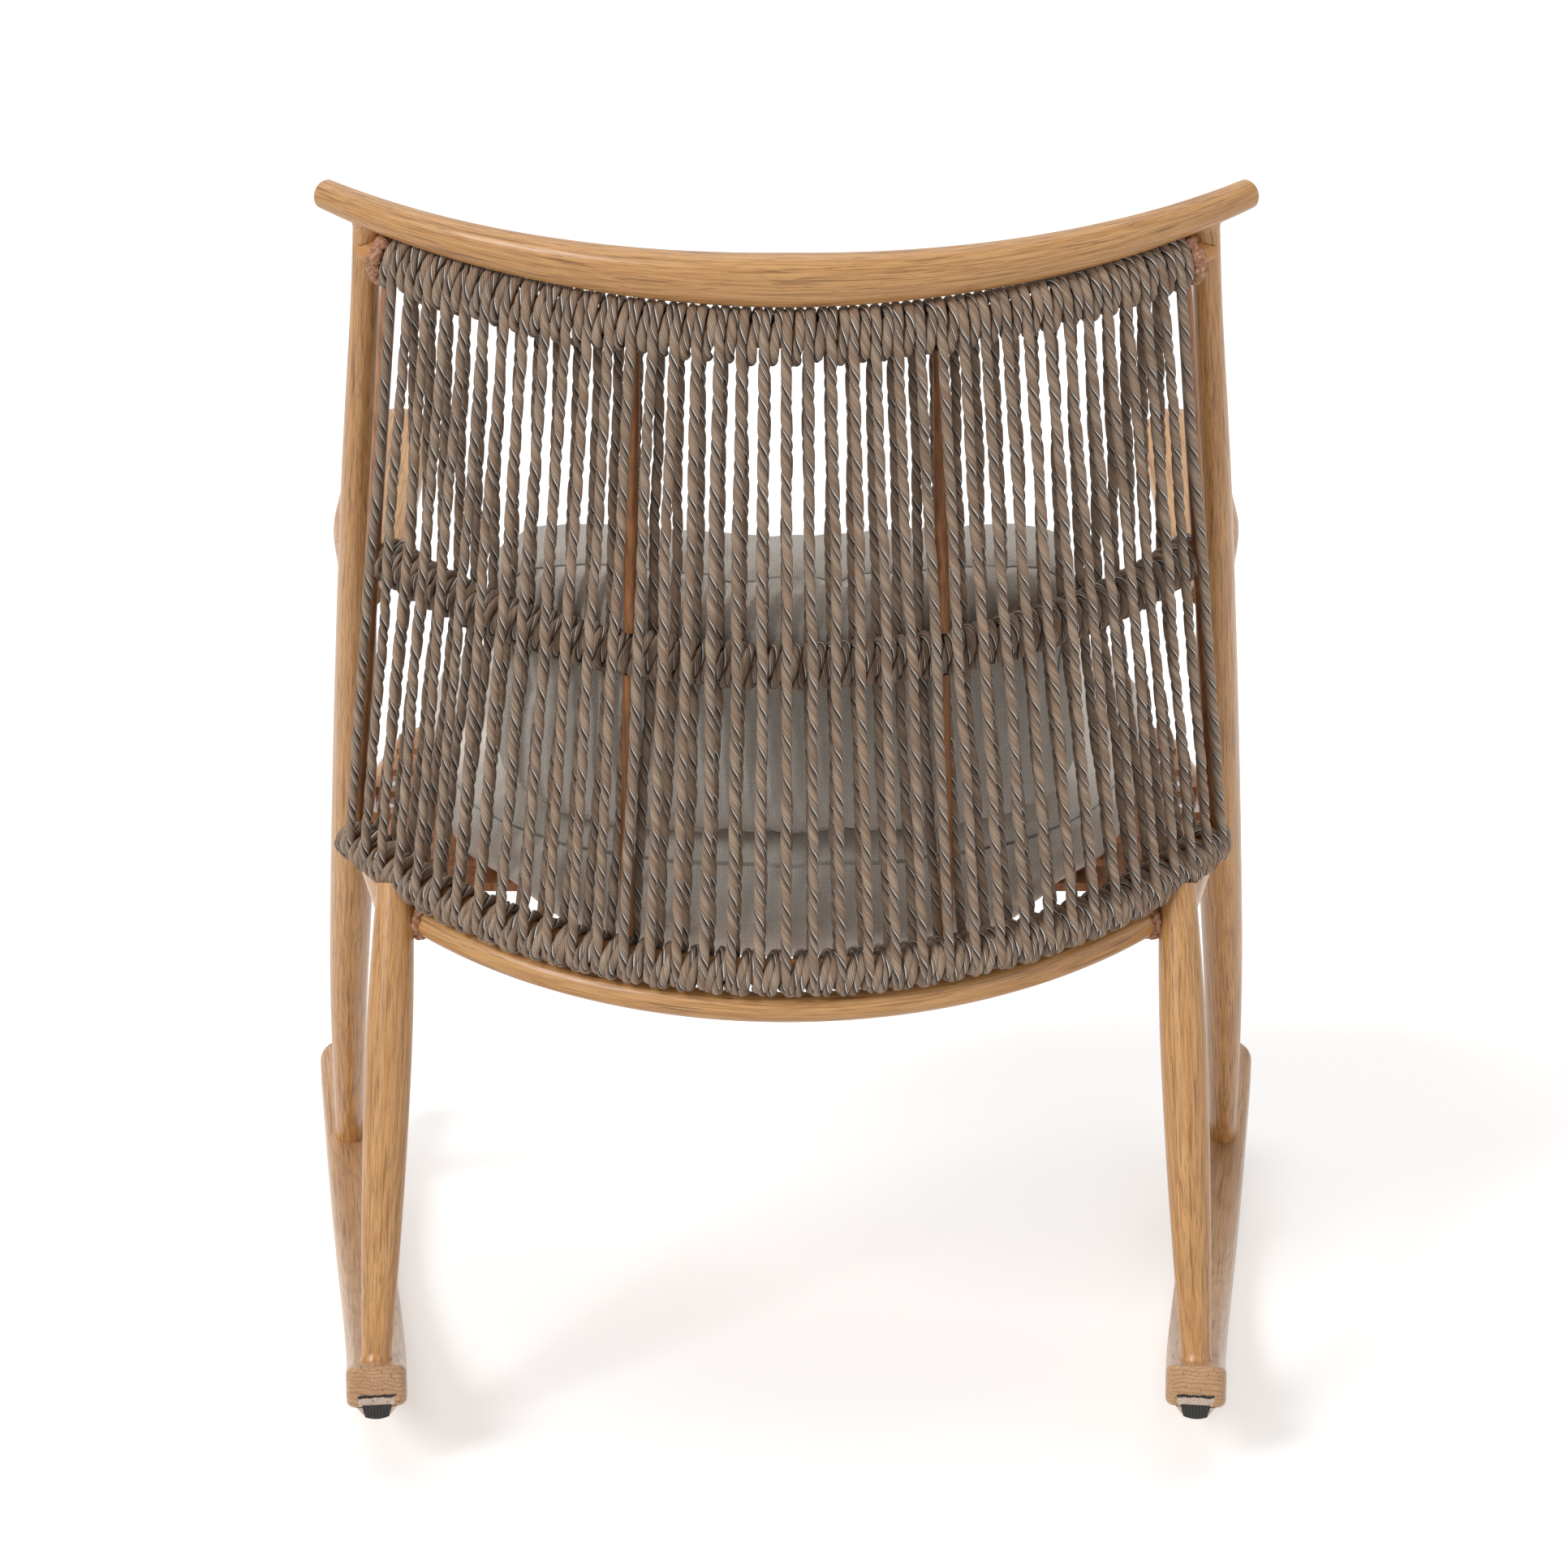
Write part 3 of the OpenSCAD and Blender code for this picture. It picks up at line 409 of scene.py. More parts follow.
# Rear legs: straight turned legs with the same coating, thickest above their middle, from the seat's rear
# corners, where they are welded, to the runners' rear ends, where they are screwed.
bottom = bow(half=0.291, end_y=0.108, end_z=0.386, back=0.148, down=0.044)
rear_leg_top = on_bow(bottom, math.asin(0.262 / bottom.radius)) + (0, 0.007, -0.014)
rear_foot = runner_line(0.266)
rear_run = rear_leg_top - rear_foot
rear_length = float(np.linalg.norm(rear_run))
t = stations((-0.02, 0.06, 0.97, 1.014), (20, 80, 10))
foot, widest, head, widest_at = 0.0099, 0.0157, 0.0125, 0.68
rise = np.sin(np.clip(t, 0, widest_at) / widest_at * math.pi / 2)
turned = np.where(t < widest_at, foot + (widest - foot) * rise,
                  widest + (head - widest) * np.clip((t - widest_at) / (1 - widest_at), 0, 1) ** 1.6)
turned = turned + flare(np.clip(t, 0, 1) * rear_length, 0.0, 0.006, 0.0012)
for (side, sign), grain_from in zip(sides, (4.1, 5.7)):
    rear_leg = loft(side + "_rear_leg_bar", mirrored(rear_foot + rear_run * t[:, None], sign), (1, 0, 0),
                    ovals(turned, turned), grain_coat, grain_from)
    fixed(rear_leg, "frame_wood", side + "_rear_leg")


# Seat frame: a bowed rail between the rear legs, a straight rail on each side and a U-shaped rail in front,
# all round aluminium tubes of the same size with the same coating, welded to the legs.
rear_rail = bow(half=0.291, end_y=0.100, end_z=0.358, back=0.148, down=0.044)
seat_rise = math.radians(3.8)
seat_rear_z = 0.338
seat_tube, seat_bend = 0.010, 0.045


def seat_z(y):
    """Height of the side rails' middle line."""
    return seat_rear_z + (rear_leg_top[1] - y) * math.tan(seat_rise)


def straight(start, end, count):
    """Points along a straight line."""
    t = np.linspace(0, 1, count)[:, None]
    return start * (1 - t) + end * t


def arched(start, middle, end, t):
    """Points along an arch that leaves its start and comes to its end along the lines to its middle."""
    t = t[:, None]
    return (start * (1 - t) + middle * t) * (1 - t) + (middle * (1 - t) + end * t) * t


def seat_rail(name, path, node_name, grain_from):
    """A round tube of the seat frame, in place of a solid."""
    radii = np.full(len(path), seat_tube)
    fixed(loft(name, path, (0, 0, 1), ovals(radii, radii), grain_coat, grain_from), "frame_wood", node_name)


rear_reach = math.asin(rear_leg_top[0] / rear_rail.radius) * 0.985
rear_path = on_bow(rear_rail, np.linspace(-rear_reach, rear_reach, 110))
seat_rail("seat_rear_rail_bar", rear_path, "seat_rear_rail", 6.6)
seat_rear_corner = np.array([rear_leg_top[0], rear_leg_top[1], seat_rear_z])
upright_at_seat = upright_top + upright_run * (seat_z(upright_top[1]) - upright_top[2]) / (
    upright_run[2] + upright_run[1] * math.tan(seat_rise))
for (side, sign), grain_from in zip(sides, (7.7, 8.8)):
    seat_rail(side + "_side_rail_bar", mirrored(straight(seat_rear_corner, upright_at_seat, 40), sign),
              side + "_seat_side_rail", grain_from)
seat_front_corner = np.array([0.272, -0.205, seat_z(-0.205)])
bend_start = seat_front_corner - unit(seat_front_corner - upright_at_seat) * seat_bend
bend = arched(bend_start, seat_front_corner, seat_front_corner - (seat_bend, 0, 0), np.linspace(0, 1, 14))
half_path = np.concatenate([straight(upright_at_seat, bend_start, 14)[:-1], bend])
front_path = np.concatenate([half_path, straight(bend[-1], mirrored(bend[-1], -1), 40)[1:-1],
                             mirrored(half_path[::-1], -1)])
seat_rail("seat_front_rail_bar", front_path, "seat_front_rail", 9.9)


# Arms: flat aluminium paddles with the same coating that are welded to the uprights, bow outwards and end in
# rounded tips. Their edges are well rounded.
arm_root = upright_top + upright_run * (0.541 - upright_top[2]) / upright_run[2]
arm_thick, arm_wide, tip_from = 0.0095, 0.028, 0.8
arm_tip = np.array([0.280, -0.232, 0.607 - arm_thick])
belly = arm_root + (arm_tip - arm_root) * 0.42
belly[0] = 2 * arm_root[0] - arm_tip[0] - 0.007
t = np.concatenate([np.linspace(0, tip_from, 60), tip_from + 0.2 * np.sin(np.linspace(0, math.pi / 2, 24))[1:]])
tip_share = np.clip((t - tip_from) / 0.2, 0, 1)
rounded = np.sqrt(np.maximum(0.004, 1 - tip_share ** 2))
arm_half = arm_wide * np.where(t < tip_from, 0.5 + 0.5 * smooth(t / 0.45), rounded)
arm_rise = arm_thick * np.sqrt(np.maximum(0.01, 1 - tip_share ** 5))
for (side, sign), grain_from in zip(sides, (11.2, 12.6)):
    arm = loft(side + "_arm_paddle", mirrored(arched(arm_root, belly, arm_tip, t), sign), (1, 0, 0),
               ovals(arm_half, arm_rise, 0.72, 56), grain_coat, grain_from)
    fixed(arm, "frame_wood", side + "_arm")


# Runners: boards of steam-bent teak with rounded edges, a rounded nose in front and a flat cut rear end
# that shows the end grain.
def boards(half_a, half_b, corner, steps=7):
    """Outlines of a board with rounded corners."""
    rings = []
    for a, b in zip(half_a, half_b):
        r = min(corner, a * 0.95, b * 0.95)
        ring = []
        for k, (sx, sy) in enumerate(((1, 1), (-1, 1), (-1, -1), (1, -1))):
            for q in np.linspace(0, math.pi / 2, steps):
                w = k * math.pi / 2 + q
                ring.append((sx * (a - r) + r * math.cos(w), sy * (b - r) + r * math.sin(w)))
        rings.append(ring)
    return np.array(rings)


def runner_ways(sign):
    """Directions across a runner and along it."""
    return (math.cos(toe), sign * math.sin(toe), 0), (-sign * math.sin(toe), math.cos(toe), 0)


runner_half, runner_half_wide, edge_radius = 0.310, 0.020, 0.0055
nose_end, nose_length, cut_edge = -0.29, 0.02, 0.008
s = np.concatenate([
    -runner_half + nose_length * (1 - np.cos(np.linspace(0.05, math.pi / 2, 18))),
    np.linspace(nose_end, runner_half - cut_edge, 120)[1:],
    runner_half - cut_edge * (1 - np.sin(np.linspace(0, math.pi / 2, 12)[1:])),
])
nose = np.sqrt(np.clip(1 - ((nose_end - s) / nose_length) ** 2, 0.002, 1)) * (s < nose_end) + (s >= nose_end)
tail = 1 - np.sqrt(1 - np.clip((s - runner_half + cut_edge) / cut_edge, 0, 1) ** 2)
upper, lower = runner_line(s), runner_line(s, runner_thick)
half_z = (upper - lower)[:, 2] / 2
outlines = boards(runner_half_wide * nose * (1 - 0.30 * tail),
                  half_z * (1 - 0.06 * tail) * (0.75 + 0.25 * nose), edge_radius)
for (side, sign), grain_from in zip(sides, (13.4, 15.1)):
    across, along = runner_ways(sign)
    runner = loft(side + "_runner", mirrored((upper + lower) / 2, sign), across,
                  outlines, bent_teak, grain_from, along)
    fixed(runner, "runner_wood", side + "_rocker")


# Rubber pads: ribbed black blocks pressed into the runners' rear ends, narrower at their feet. Each is held
# between two wooden cheeks, below a slot whose shade is painted as a thin black strip, and a strip of torn
# wood.

# Moulded rubber: nearly black and dull, with raised ribs 2.1 mm apart, fine grit and pale dust
rubber, tree, shader = material("moulded_rubber")
spots = node(tree, "ShaderNodeAttribute", attribute_name="grain").outputs["Vector"]
grit = stretched_noise(tree, spots, (900, 900, 900))
dust = patches(tree, spots, (160, 160, 160), 3.0, 0.45, 0.8)
ribs = node(tree, "ShaderNodeSeparateXYZ", spots)
ribs = node(tree, "ShaderNodeMath", ribs, 2 * math.pi / 0.0021, operation="MULTIPLY")
ribs = node(tree, "ShaderNodeMath", ribs, operation="SINE")
rib_tops = node(tree, "ShaderNodeMapRange", ribs, 0.2, 1.0, interpolation_type="SMOOTHSTEP")
height = node(tree, "ShaderNodeMath", ribs, 0.6, grit, operation="MULTIPLY_ADD")
node(tree, shader, {
    "Base Color": painted(tree, linear("#201F1E"), (dust, 0.35, "#4A4541"), (rib_tops, 0.35, "#5B5752")),
    "Roughness": node(tree, "ShaderNodeMath", grit, 0.2, 0.62, operation="MULTIPLY_ADD"),
    "Normal": node(tree, "ShaderNodeBump", {"Height": height, "Strength": 0.5, "Distance": 0.0006}),
})
# Split teak: raw, pale and pinkish, with close torn fibres
split_teak = wood_look("split_teak", "#E2CFC0", "#C9AE99", "#6B4A38", "#A07C66", 0.0012)


def wedge(half_top, half_foot, top, foot, hollow, count=12):
    """Outline from top to foot, which curves up by hollow at its sides. The second number counts downwards,
    and a foot below the runner's underside adds corners at that level."""
    corners = foot > 0
    low = [(a, foot - hollow * (a / half_foot) ** 2) for a in np.linspace(half_foot, -half_foot, count)]
    high = [(a, top) for a in np.linspace(-half_top, half_top, count)]
    return np.array([(half_top, 0.0)] * corners + low + [(-half_top, 0.0)] * corners + high)


pad_rows = 16
for (side, sign), grain_from in zip(sides, (0.7, 1.9)):
    across, along = runner_ways(sign)
    for piece_name, look, slot, nodes, first, last, shape in (
        ("rear_pad_block", rubber, "rubber", [side + "_rear_pad"], 0.2730, 0.3106,
         (0.0100, 0.0080, -0.0018, 0.0084, 0.0016)),
        ("pad_cheeks", split_teak, "runner_wood", [], 0.2700, 0.3102,
         (0.0132, 0.0090, -0.0002, 0.0076, 0.0022)),
        ("torn_strip", split_teak, "runner_wood", [], 0.3080, 0.3103, (0.0122, 0.0118, -0.0072, -0.0012, 0.0)),
        # The slot's shade, painted as a thin strip of the black rubber on the end face
        ("slot_shade_strip", rubber, "rubber", [], 0.3080, 0.3104, (0.0126, 0.0122, -0.0086, -0.0070, 0.0)),
    ):
        outline = wedge(*shape)
        shrink = np.clip((np.abs(np.linspace(-1, 1, pad_rows)) - 0.86) / 0.14, 0, 1)
        size = 1 - 0.05 * shrink ** 2
        rings = outline[None] * np.stack([size, np.ones(pad_rows)], axis=1)[:, None]
        if shape[3] < 0:
            ragged = np.sin(outline[:, 0] * 900 + shape[2] * 4000) + 0.6 * np.sin(outline[:, 0] * 2300)
            rings = rings + np.stack([0 * ragged, 0.00045 * ragged], axis=1)[None]
        path = runner_line(np.linspace(first, last, pad_rows), runner_thick)
        piece = loft(side + "_" + piece_name, mirrored(path, sign), across, rings, look, grain_from, along)
        piece.data.shade_flat()
        fixed(piece, slot, *nodes)


# Screws, slats, posts, struts and rope rails: stainless steel screws, and aluminium tubes and bars with a
# powder coat. These are simple bars, so the solids stay as they are, with their own finishes.
def dress(names, look):
    """Gives carried-over solids a material."""
    for name in names:
        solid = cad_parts[name]
        if not solid.material_slots:
            solid.data.materials.append(look)
        for slot in solid.material_slots:
            slot.material = look


def powder_coat(name, light, mid, dark):
    """A sprayed and baked powder coat: satin, slightly pebbled, with faint streaks and worn patches."""
    look, tree, shader = material(name)
    place = node(tree, "ShaderNodeTexCoord").outputs["Object"]
    streaks = patches(tree, place, (420, 420, 26), 3.0, 0.3, 0.7)
    worn = stretched_noise(tree, place, (34, 34, 34), 2.0)
    worn_most = node(tree, "ShaderNodeMapRange", worn, 0.45, 0.75, interpolation_type="SMOOTHSTEP")
    pebbles = stretched_noise(tree, place, (1800, 1800, 1800), 2.0)
    node(tree, shader, {
        "Base Color": painted(tree, linear(light), (streaks, 1.0, mid), (worn_most, 0.45, dark)),
        "Roughness": node(tree, "ShaderNodeMath", worn, 0.25, 0.34, operation="MULTIPLY_ADD"),
        "Normal": node(tree, "ShaderNodeBump", {"Height": pebbles, "Strength": 0.25, "Distance": 0.0003}),
    })
    return look


# Brushed stainless steel: a soft grey gloss, drawn out across the brush lines
steel, tree, shader = material("brushed_stainless_steel")
brushed = stretched_noise(tree, node(tree, "ShaderNodeTexCoord").outputs["Object"], (2500, 140, 140), 2.0)
node(tree, shader, {
    "Base Color": painted(tree, linear("#A9AAAB"), (brushed, 1.0, "#C9CACA")),
    "Roughness": node(tree, "ShaderNodeMath", brushed, 0.2, 0.28, operation="MULTIPLY_ADD"),
    "Metallic": 1.0,
})
brown_coat = powder_coat("brown_powder_coat", "#B47B4B", "#8C5833", "#6B452B")
tan_coat = powder_coat("tan_powder_coat", "#D69C60", "#C2874A", "#A56E3A")
dress(("rocker_screws", "slat_screws"), steel)
dress(("seat_slats", "left_back_post", "right_back_post", "left_back_strut", "right_back_strut"), brown_coat)
dress(("back_top_rail", "back_middle_rail", "back_bottom_rail"), tan_coat)


# Weld beads: lumpy aluminium welds under the coating, where the rear seat rail meets the rear legs and where
# the top rope rail meets the uprights.

# Coated weld: uneven and a little duller than the bars, with painted shade in its dips and a painted highlight
# on its lumps
weld_coat, tree, shader = material("coated_weld")
lumps = stretched_noise(tree, node(tree, "ShaderNodeTexCoord").outputs["Object"], (420, 420, 420), 4.0)
# Painted light and shade: pale on the lumps and dark in the dips
lump_light_dip_shade = node(tree, "ShaderNodeMapRange", lumps, 0.35, 0.7, interpolation_type="SMOOTHSTEP")
node(tree, shader, {
    "Base Color": painted(tree, linear("#8A5C40"), (lump_light_dip_shade, 1.0, "#C99877")),
    "Roughness": node(tree, "ShaderNodeMath", lumps, 0.3, 0.4, operation="MULTIPLY_ADD"),
    "Normal": node(tree, "ShaderNodeBump", {"Height": lumps, "Strength": 0.9, "Distance": 0.0010}),
})
top = bow(half=0.250, end_y=crest.y - 0.005 - 0.075, end_z=crest.z - 0.036 + 0.032, back=0.075, down=0.032)


def bead(middle, along, radius, thick, seed, round_count=72, tube_count=12):
    """Points and faces of a lumpy ring round a bar."""
    source = np.random.default_rng(seed)
    ex = unit(np.cross(along, (0.0, 0.0, 1.0)))
    ey = np.cross(along, ex)
    u, w = np.meshgrid(np.arange(round_count) * 2 * math.pi / round_count,
                       np.arange(tube_count) * 2 * math.pi / tube_count, indexing="ij")
    lump = np.ones_like(u)
    for k, size in ((5, 0.10), (9, 0.13), (14, 0.14), (23, 0.10)):
        lump += size * np.sin(k * u + source.uniform(0, 6.28) + 0.8 * np.sin(w + source.uniform(0, 6.28)))
    out = (radius + thick * lump * np.cos(w))[..., None]
    points = middle + out * (np.cos(u)[..., None] * ex + np.sin(u)[..., None] * ey)
    points = points + (thick * lump * np.sin(w))[..., None] * along
    faces = []
    for a in range(round_count):
        here, there = a * tube_count, (a + 1) % round_count * tube_count
        for b in range(tube_count):
            after = (b + 1) % tube_count
            faces.append((here + b, there + b, there + after, here + after))
    return points.reshape(-1, 3), faces


bead_points, bead_faces = [], []
for b, a, radius, thick in (
    (top, top.half_angle + 0.0035 / top.radius, 0.0124, 0.0048),
    (rear_rail, math.asin(0.2412 / rear_rail.radius), 0.0104, 0.0030),
):
    for sign in (1, -1):
        points, faces = bead(on_bow(b, sign * a), bow_run(b, sign * a), radius, thick, int(radius * 1e4) + sign)
        shift = sum(len(q) for q in bead_points)
        bead_points.append(points)
        bead_faces += [tuple(i + shift for i in face) for face in faces]
fixed(mesh_piece("weld_beads", np.concatenate(bead_points), bead_faces, weld_coat), "frame_wood")


# Rope finish: an outdoor rope 7 mm across, of two strands twisted together, each a bundle of fine ribbed
# polyethylene tapes in several greys and browns.

# Twisted polyethylene: dull and a little woolly, with lengthwise ribs, strands painted darker as shade towards
# the groove between them, the groove painted near black as shade, and a near-white painted highlight beside it.
# Real ribs are about
# 0.5 mm apart and are drawn 1.7 mm apart, 13 round the rope.
rope_look, tree, shader = material("twisted_polyethylene")
lay = node(tree, "ShaderNodeAttribute", attribute_name="lay").outputs["Vector"]
which = node(tree, "ShaderNodeAttribute", attribute_name="rope_number").outputs["Fac"]
cos_round, sin_round, run = node(tree, "ShaderNodeSeparateXYZ", lay).outputs
turn = node(tree, "ShaderNodeMath", sin_round, cos_round, operation="ARCTAN2")
# Sine and cosine of the angle from the second groove, which lies 112.5 degrees beyond the first
second_groove = math.radians(202.5)
cos_second = weighed(tree, (sin_round, math.sin(second_groove)), (cos_round, math.cos(second_groove)))
sin_second = weighed(tree, (cos_round, -math.sin(second_groove)), (sin_round, math.cos(second_groove)))


def stripe(value, where, side, inner, outer):
    """1 where value is near the given one, on the side where side is positive."""
    off = node(tree, "ShaderNodeMath", value, where, operation="SUBTRACT")
    off = node(tree, "ShaderNodeMath", off, operation="ABSOLUTE")
    far = node(tree, "ShaderNodeMapRange", off, inner, outer, interpolation_type="SMOOTHSTEP")
    near = node(tree, "ShaderNodeMath", 1.0, far, operation="SUBTRACT")
    here = node(tree, "ShaderNodeMath", side, 0.0, operation="GREATER_THAN")
    return node(tree, "ShaderNodeMath", near, here, operation="MULTIPLY")


def drawn(rope_number, step):
    """A different number from 0 to 1 for each rope."""
    stepped = node(tree, "ShaderNodeMath", rope_number, step, operation="MULTIPLY")
    return node(tree, "ShaderNodeMath", stepped, operation="FRACT")


def stronger(mask, share, other, other_share):
    """The larger of two masks, each times its share."""
    shares = [weighed(tree, pair) for pair in ((mask, share), (other, other_share))]
    return node(tree, "ShaderNodeMath", *shares, operation="MAXIMUM")


# Where the strands meet: the groove masks dent the surface and paint it near black as shade
groove = stripe(cos_round, 0.0, sin_round, 0.08, 0.26)
groove_second = stripe(sin_second, 0.0, cos_second, 0.03, 0.22)
# Painted highlight: a near-white line on one side of each groove
painted_highlight = stripe(cos_round, 0.37, sin_round, 0.07, 0.13)
painted_highlight_second = stripe(sin_second, -0.32, cos_second, 0.05, 0.11)
along = node(tree, "ShaderNodeMath", run, 60.0, operation="MULTIPLY")
own_place = node(tree, "ShaderNodeMath", which, 7.31, operation="MULTIPLY")
place = node(tree, "ShaderNodeCombineXYZ", turn, along, own_place)
fluff = stretched_noise(tree, place, (9, 1.0, 1))
worn = node(tree, "ShaderNodeMapRange", fluff, 0.35, 0.7, interpolation_type="SMOOTHSTEP")
blotches = patches(tree, place, (1.2, 0.35, 1), 2.0, 0.3, 0.72)
ribs = node(tree, "ShaderNodeMath", weighed(tree, (fluff, 2.4), (turn, 13.0)), operation="SINE")
ribs = node(tree, "ShaderNodeMapRange", ribs, -0.3, 1.0, interpolation_type="SMOOTHSTEP")
# Painted shade: each strand darkens towards the grooves
hollow = node(tree, "ShaderNodeMapRange", sin_round, 0.35, 1.0, interpolation_type="SMOOTHSTEP")
hollow_second = node(tree, "ShaderNodeMapRange", cos_second, 0.5, 1.0, interpolation_type="SMOOTHSTEP")
tone = painted(
    tree, linear("#9C806A"), (blotches, 1.0, "#D8C1A9"), (worn, 0.38, "#79593F"), (ribs, 0.60, "#412C1C"),
    (drawn(which, 0.61803), 0.25, "#A37C5D"), (drawn(which, 0.7549), 0.20, "#5A493B"),
    # Painted shade towards the grooves, a painted highlight beside them, and the grooves painted near black as
    # shade
    (stronger(hollow, 1.0, hollow_second, 1.0), 0.44, "#32231A"),
    (stronger(painted_highlight, 1.0, painted_highlight_second, 0.85), 0.92, "#FBF8F3"),
    (stronger(groove, 0.95, groove_second, 0.6), 1.0, "#18100C"),
)
height = weighed(tree, (fluff, 0.4), (groove, -1.6), (ribs, -0.35))
node(tree, shader, {
    "Base Color": tone, "Roughness": 0.72, "Sheen Weight": 0.12,
    "Normal": node(tree, "ShaderNodeBump", {"Height": height, "Strength": 0.7, "Distance": 0.0010}),
})


def rope_tree():
    """Geometry nodes that turn curves into twisted two-strand rope."""
    tree = bpy.data.node_groups.new("twisted_rope", "GeometryNodeTree")
    for label, kind, default in (
        ("Geometry", "Geometry", None), ("Rope Radius", "Float", 0.0035), ("Strand Pitch", "Float", 0.029),
        ("Ring Spacing", "Float", 0.0023), ("Groove Depth", "Float", 0.30), ("Lay Sign", "Float", -1.0),
        ("Seed", "Int", 3), ("Material", "Material", None),
    ):
        socket = tree.interface.new_socket(label, in_out="INPUT", socket_type="NodeSocket" + kind)
        if default is not None:
            socket.default_value = default
    tree.interface.new_socket("Geometry", in_out="OUTPUT", socket_type="NodeSocketGeometry")
    given = node(tree, "NodeGroupInput").outputs
    count = node(tree, "GeometryNodeInputIndex")
    numbered = node(tree, "GeometryNodeStoreNamedAttribute", {
        "Geometry": given["Geometry"], "Name": "rope_number", "Value": count,
    }, data_type="FLOAT", domain="CURVE")
    even = node(tree, "GeometryNodeResampleCurve", {
        "Curve": numbered, "Length": given["Ring Spacing"]}, mode="LENGTH")
    run = node(tree, "GeometryNodeSplineParameter").outputs["Length"]
    number = node(tree, "GeometryNodeInputNamedAttribute", {"Name": "rope_number"}, data_type="FLOAT")

    # The strands turn along the rope, from a start of its own for each rope
    phase = node(tree, "FunctionNodeRandomValue", {
        "ID": count, "Seed": given["Seed"], 3: 2 * math.pi}, data_type="FLOAT").outputs[1]
    start = node(tree, "GeometryNodeFieldOnDomain", phase, data_type="FLOAT", domain="CURVE")
    turns = node(tree, "ShaderNodeMath", run, given["Strand Pitch"], operation="DIVIDE")
    turns = node(tree, "ShaderNodeMath", turns, 2 * math.pi, operation="MULTIPLY")
    tilt = node(tree, "ShaderNodeMath", turns, given["Lay Sign"], start, operation="MULTIPLY_ADD")
    stored = node(tree, "GeometryNodeStoreNamedAttribute", {
        "Geometry": even, "Name": "run", "Value": run}, data_type="FLOAT", domain="POINT")
    tilted = node(tree, "GeometryNodeSetCurveTilt", {"Curve": stored, "Tilt": tilt})

    # The section is a ring with a groove on each side, between the strands
    ring = node(tree, "GeometryNodeCurvePrimitiveCircle", {"Resolution": 16, "Radius": given["Rope Radius"]})
    spot = node(tree, "GeometryNodeInputPosition")
    heading = node(tree, "ShaderNodeVectorMath", spot, operation="NORMALIZE")
    marked = node(tree, "GeometryNodeStoreNamedAttribute", {
        "Geometry": ring, "Name": "round", "Value": heading}, data_type="FLOAT_VECTOR", domain="POINT")
    cosine, sine = node(tree, "ShaderNodeSeparateXYZ", heading).outputs[:2]
    cos_second = weighed(tree, (sine, math.sin(second_groove)), (cosine, math.cos(second_groove)))
    dents = []
    for toward in (sine, cos_second):
        facing = node(tree, "ShaderNodeMath", toward, 0.0, operation="MAXIMUM")
        dents.append(node(tree, "ShaderNodeMath", facing, 6.0, operation="POWER"))
    deepest = node(tree, "ShaderNodeMath", *dents, operation="MAXIMUM")
    dent = node(tree, "ShaderNodeMath", given["Groove Depth"], deepest, operation="MULTIPLY")
    lobes = node(tree, "ShaderNodeMath", 1.0, dent, operation="SUBTRACT")
    scaled = node(tree, "ShaderNodeVectorMath", {0: spot, "Scale": lobes}, operation="SCALE")
    lobed = node(tree, "GeometryNodeSetPosition", {"Geometry": marked, "Position": scaled})
    skin = node(tree, "GeometryNodeCurveToMesh", {"Curve": tilted, "Profile Curve": lobed, "Fill Caps": True})

    # Marks for the material: where round the rope, how far along it, and which rope
    round_mark = node(tree, "GeometryNodeInputNamedAttribute", {"Name": "round"}, data_type="FLOAT_VECTOR")
    run_mark = node(tree, "GeometryNodeInputNamedAttribute", {"Name": "run"}, data_type="FLOAT")
    round_parts = node(tree, "ShaderNodeSeparateXYZ", round_mark).outputs
    lay_mark = node(tree, "ShaderNodeCombineXYZ", round_parts["X"], round_parts["Y"], run_mark)
    laid = node(tree, "GeometryNodeStoreNamedAttribute", {
        "Geometry": skin, "Name": "lay", "Value": lay_mark}, data_type="FLOAT_VECTOR", domain="POINT")
    kept = node(tree, "GeometryNodeStoreNamedAttribute", {
        "Geometry": laid, "Name": "rope_number", "Value": number}, data_type="FLOAT", domain="POINT")
    soft = node(tree, "GeometryNodeSetShadeSmooth", {"Geometry": kept})
    real = node(tree, "GeometryNodeRealizeInstances", {"Geometry": soft})
    final = node(tree, "GeometryNodeSetMaterial", {"Geometry": real, "Material": given["Material"]})
    node(tree, "NodeGroupOutput", {"Geometry": final})
    return tree


twisted_rope = rope_tree()


def plain_mesh(piece):
    """The mesh of an object with all its modifiers applied."""
    bpy.context.view_layer.update()
    return bpy.data.meshes.new_from_object(piece.evaluated_get(bpy.context.evaluated_depsgraph_get()))


def rope_piece(name, paths, nodes, seed):
    """Ropes along the paths, as one plain mesh that stands for the given solids."""
    curve = bpy.data.curves.new(name + "_paths", "CURVE")
    curve.dimensions = "3D"
    for path in paths:
        spline = curve.splines.new("POLY")
        spline.points.add(len(path) - 1)
        places = np.concatenate([path, np.ones((len(path), 1))], axis=1)
        spline.points.foreach_set("co", places.astype(np.float32).ravel())
    holder = bpy.data.objects.new(name + "_paths", curve)
    scene.collection.objects.link(holder)
    modifier = holder.modifiers.new("rope", "NODES")
    modifier.node_group = twisted_rope
    sockets = {s.name: s.identifier for s in twisted_rope.interface.items_tree if s.in_out == "INPUT"}
    modifier[sockets["Seed"]] = seed
    modifier[sockets["Material"]] = rope_look
    made = plain_mesh(holder)
    bpy.data.objects.remove(holder)
    made.name = name
    piece = bpy.data.objects.new(name, made)
    scene.collection.objects.link(piece)
    fixed(piece, "rope", *nodes)


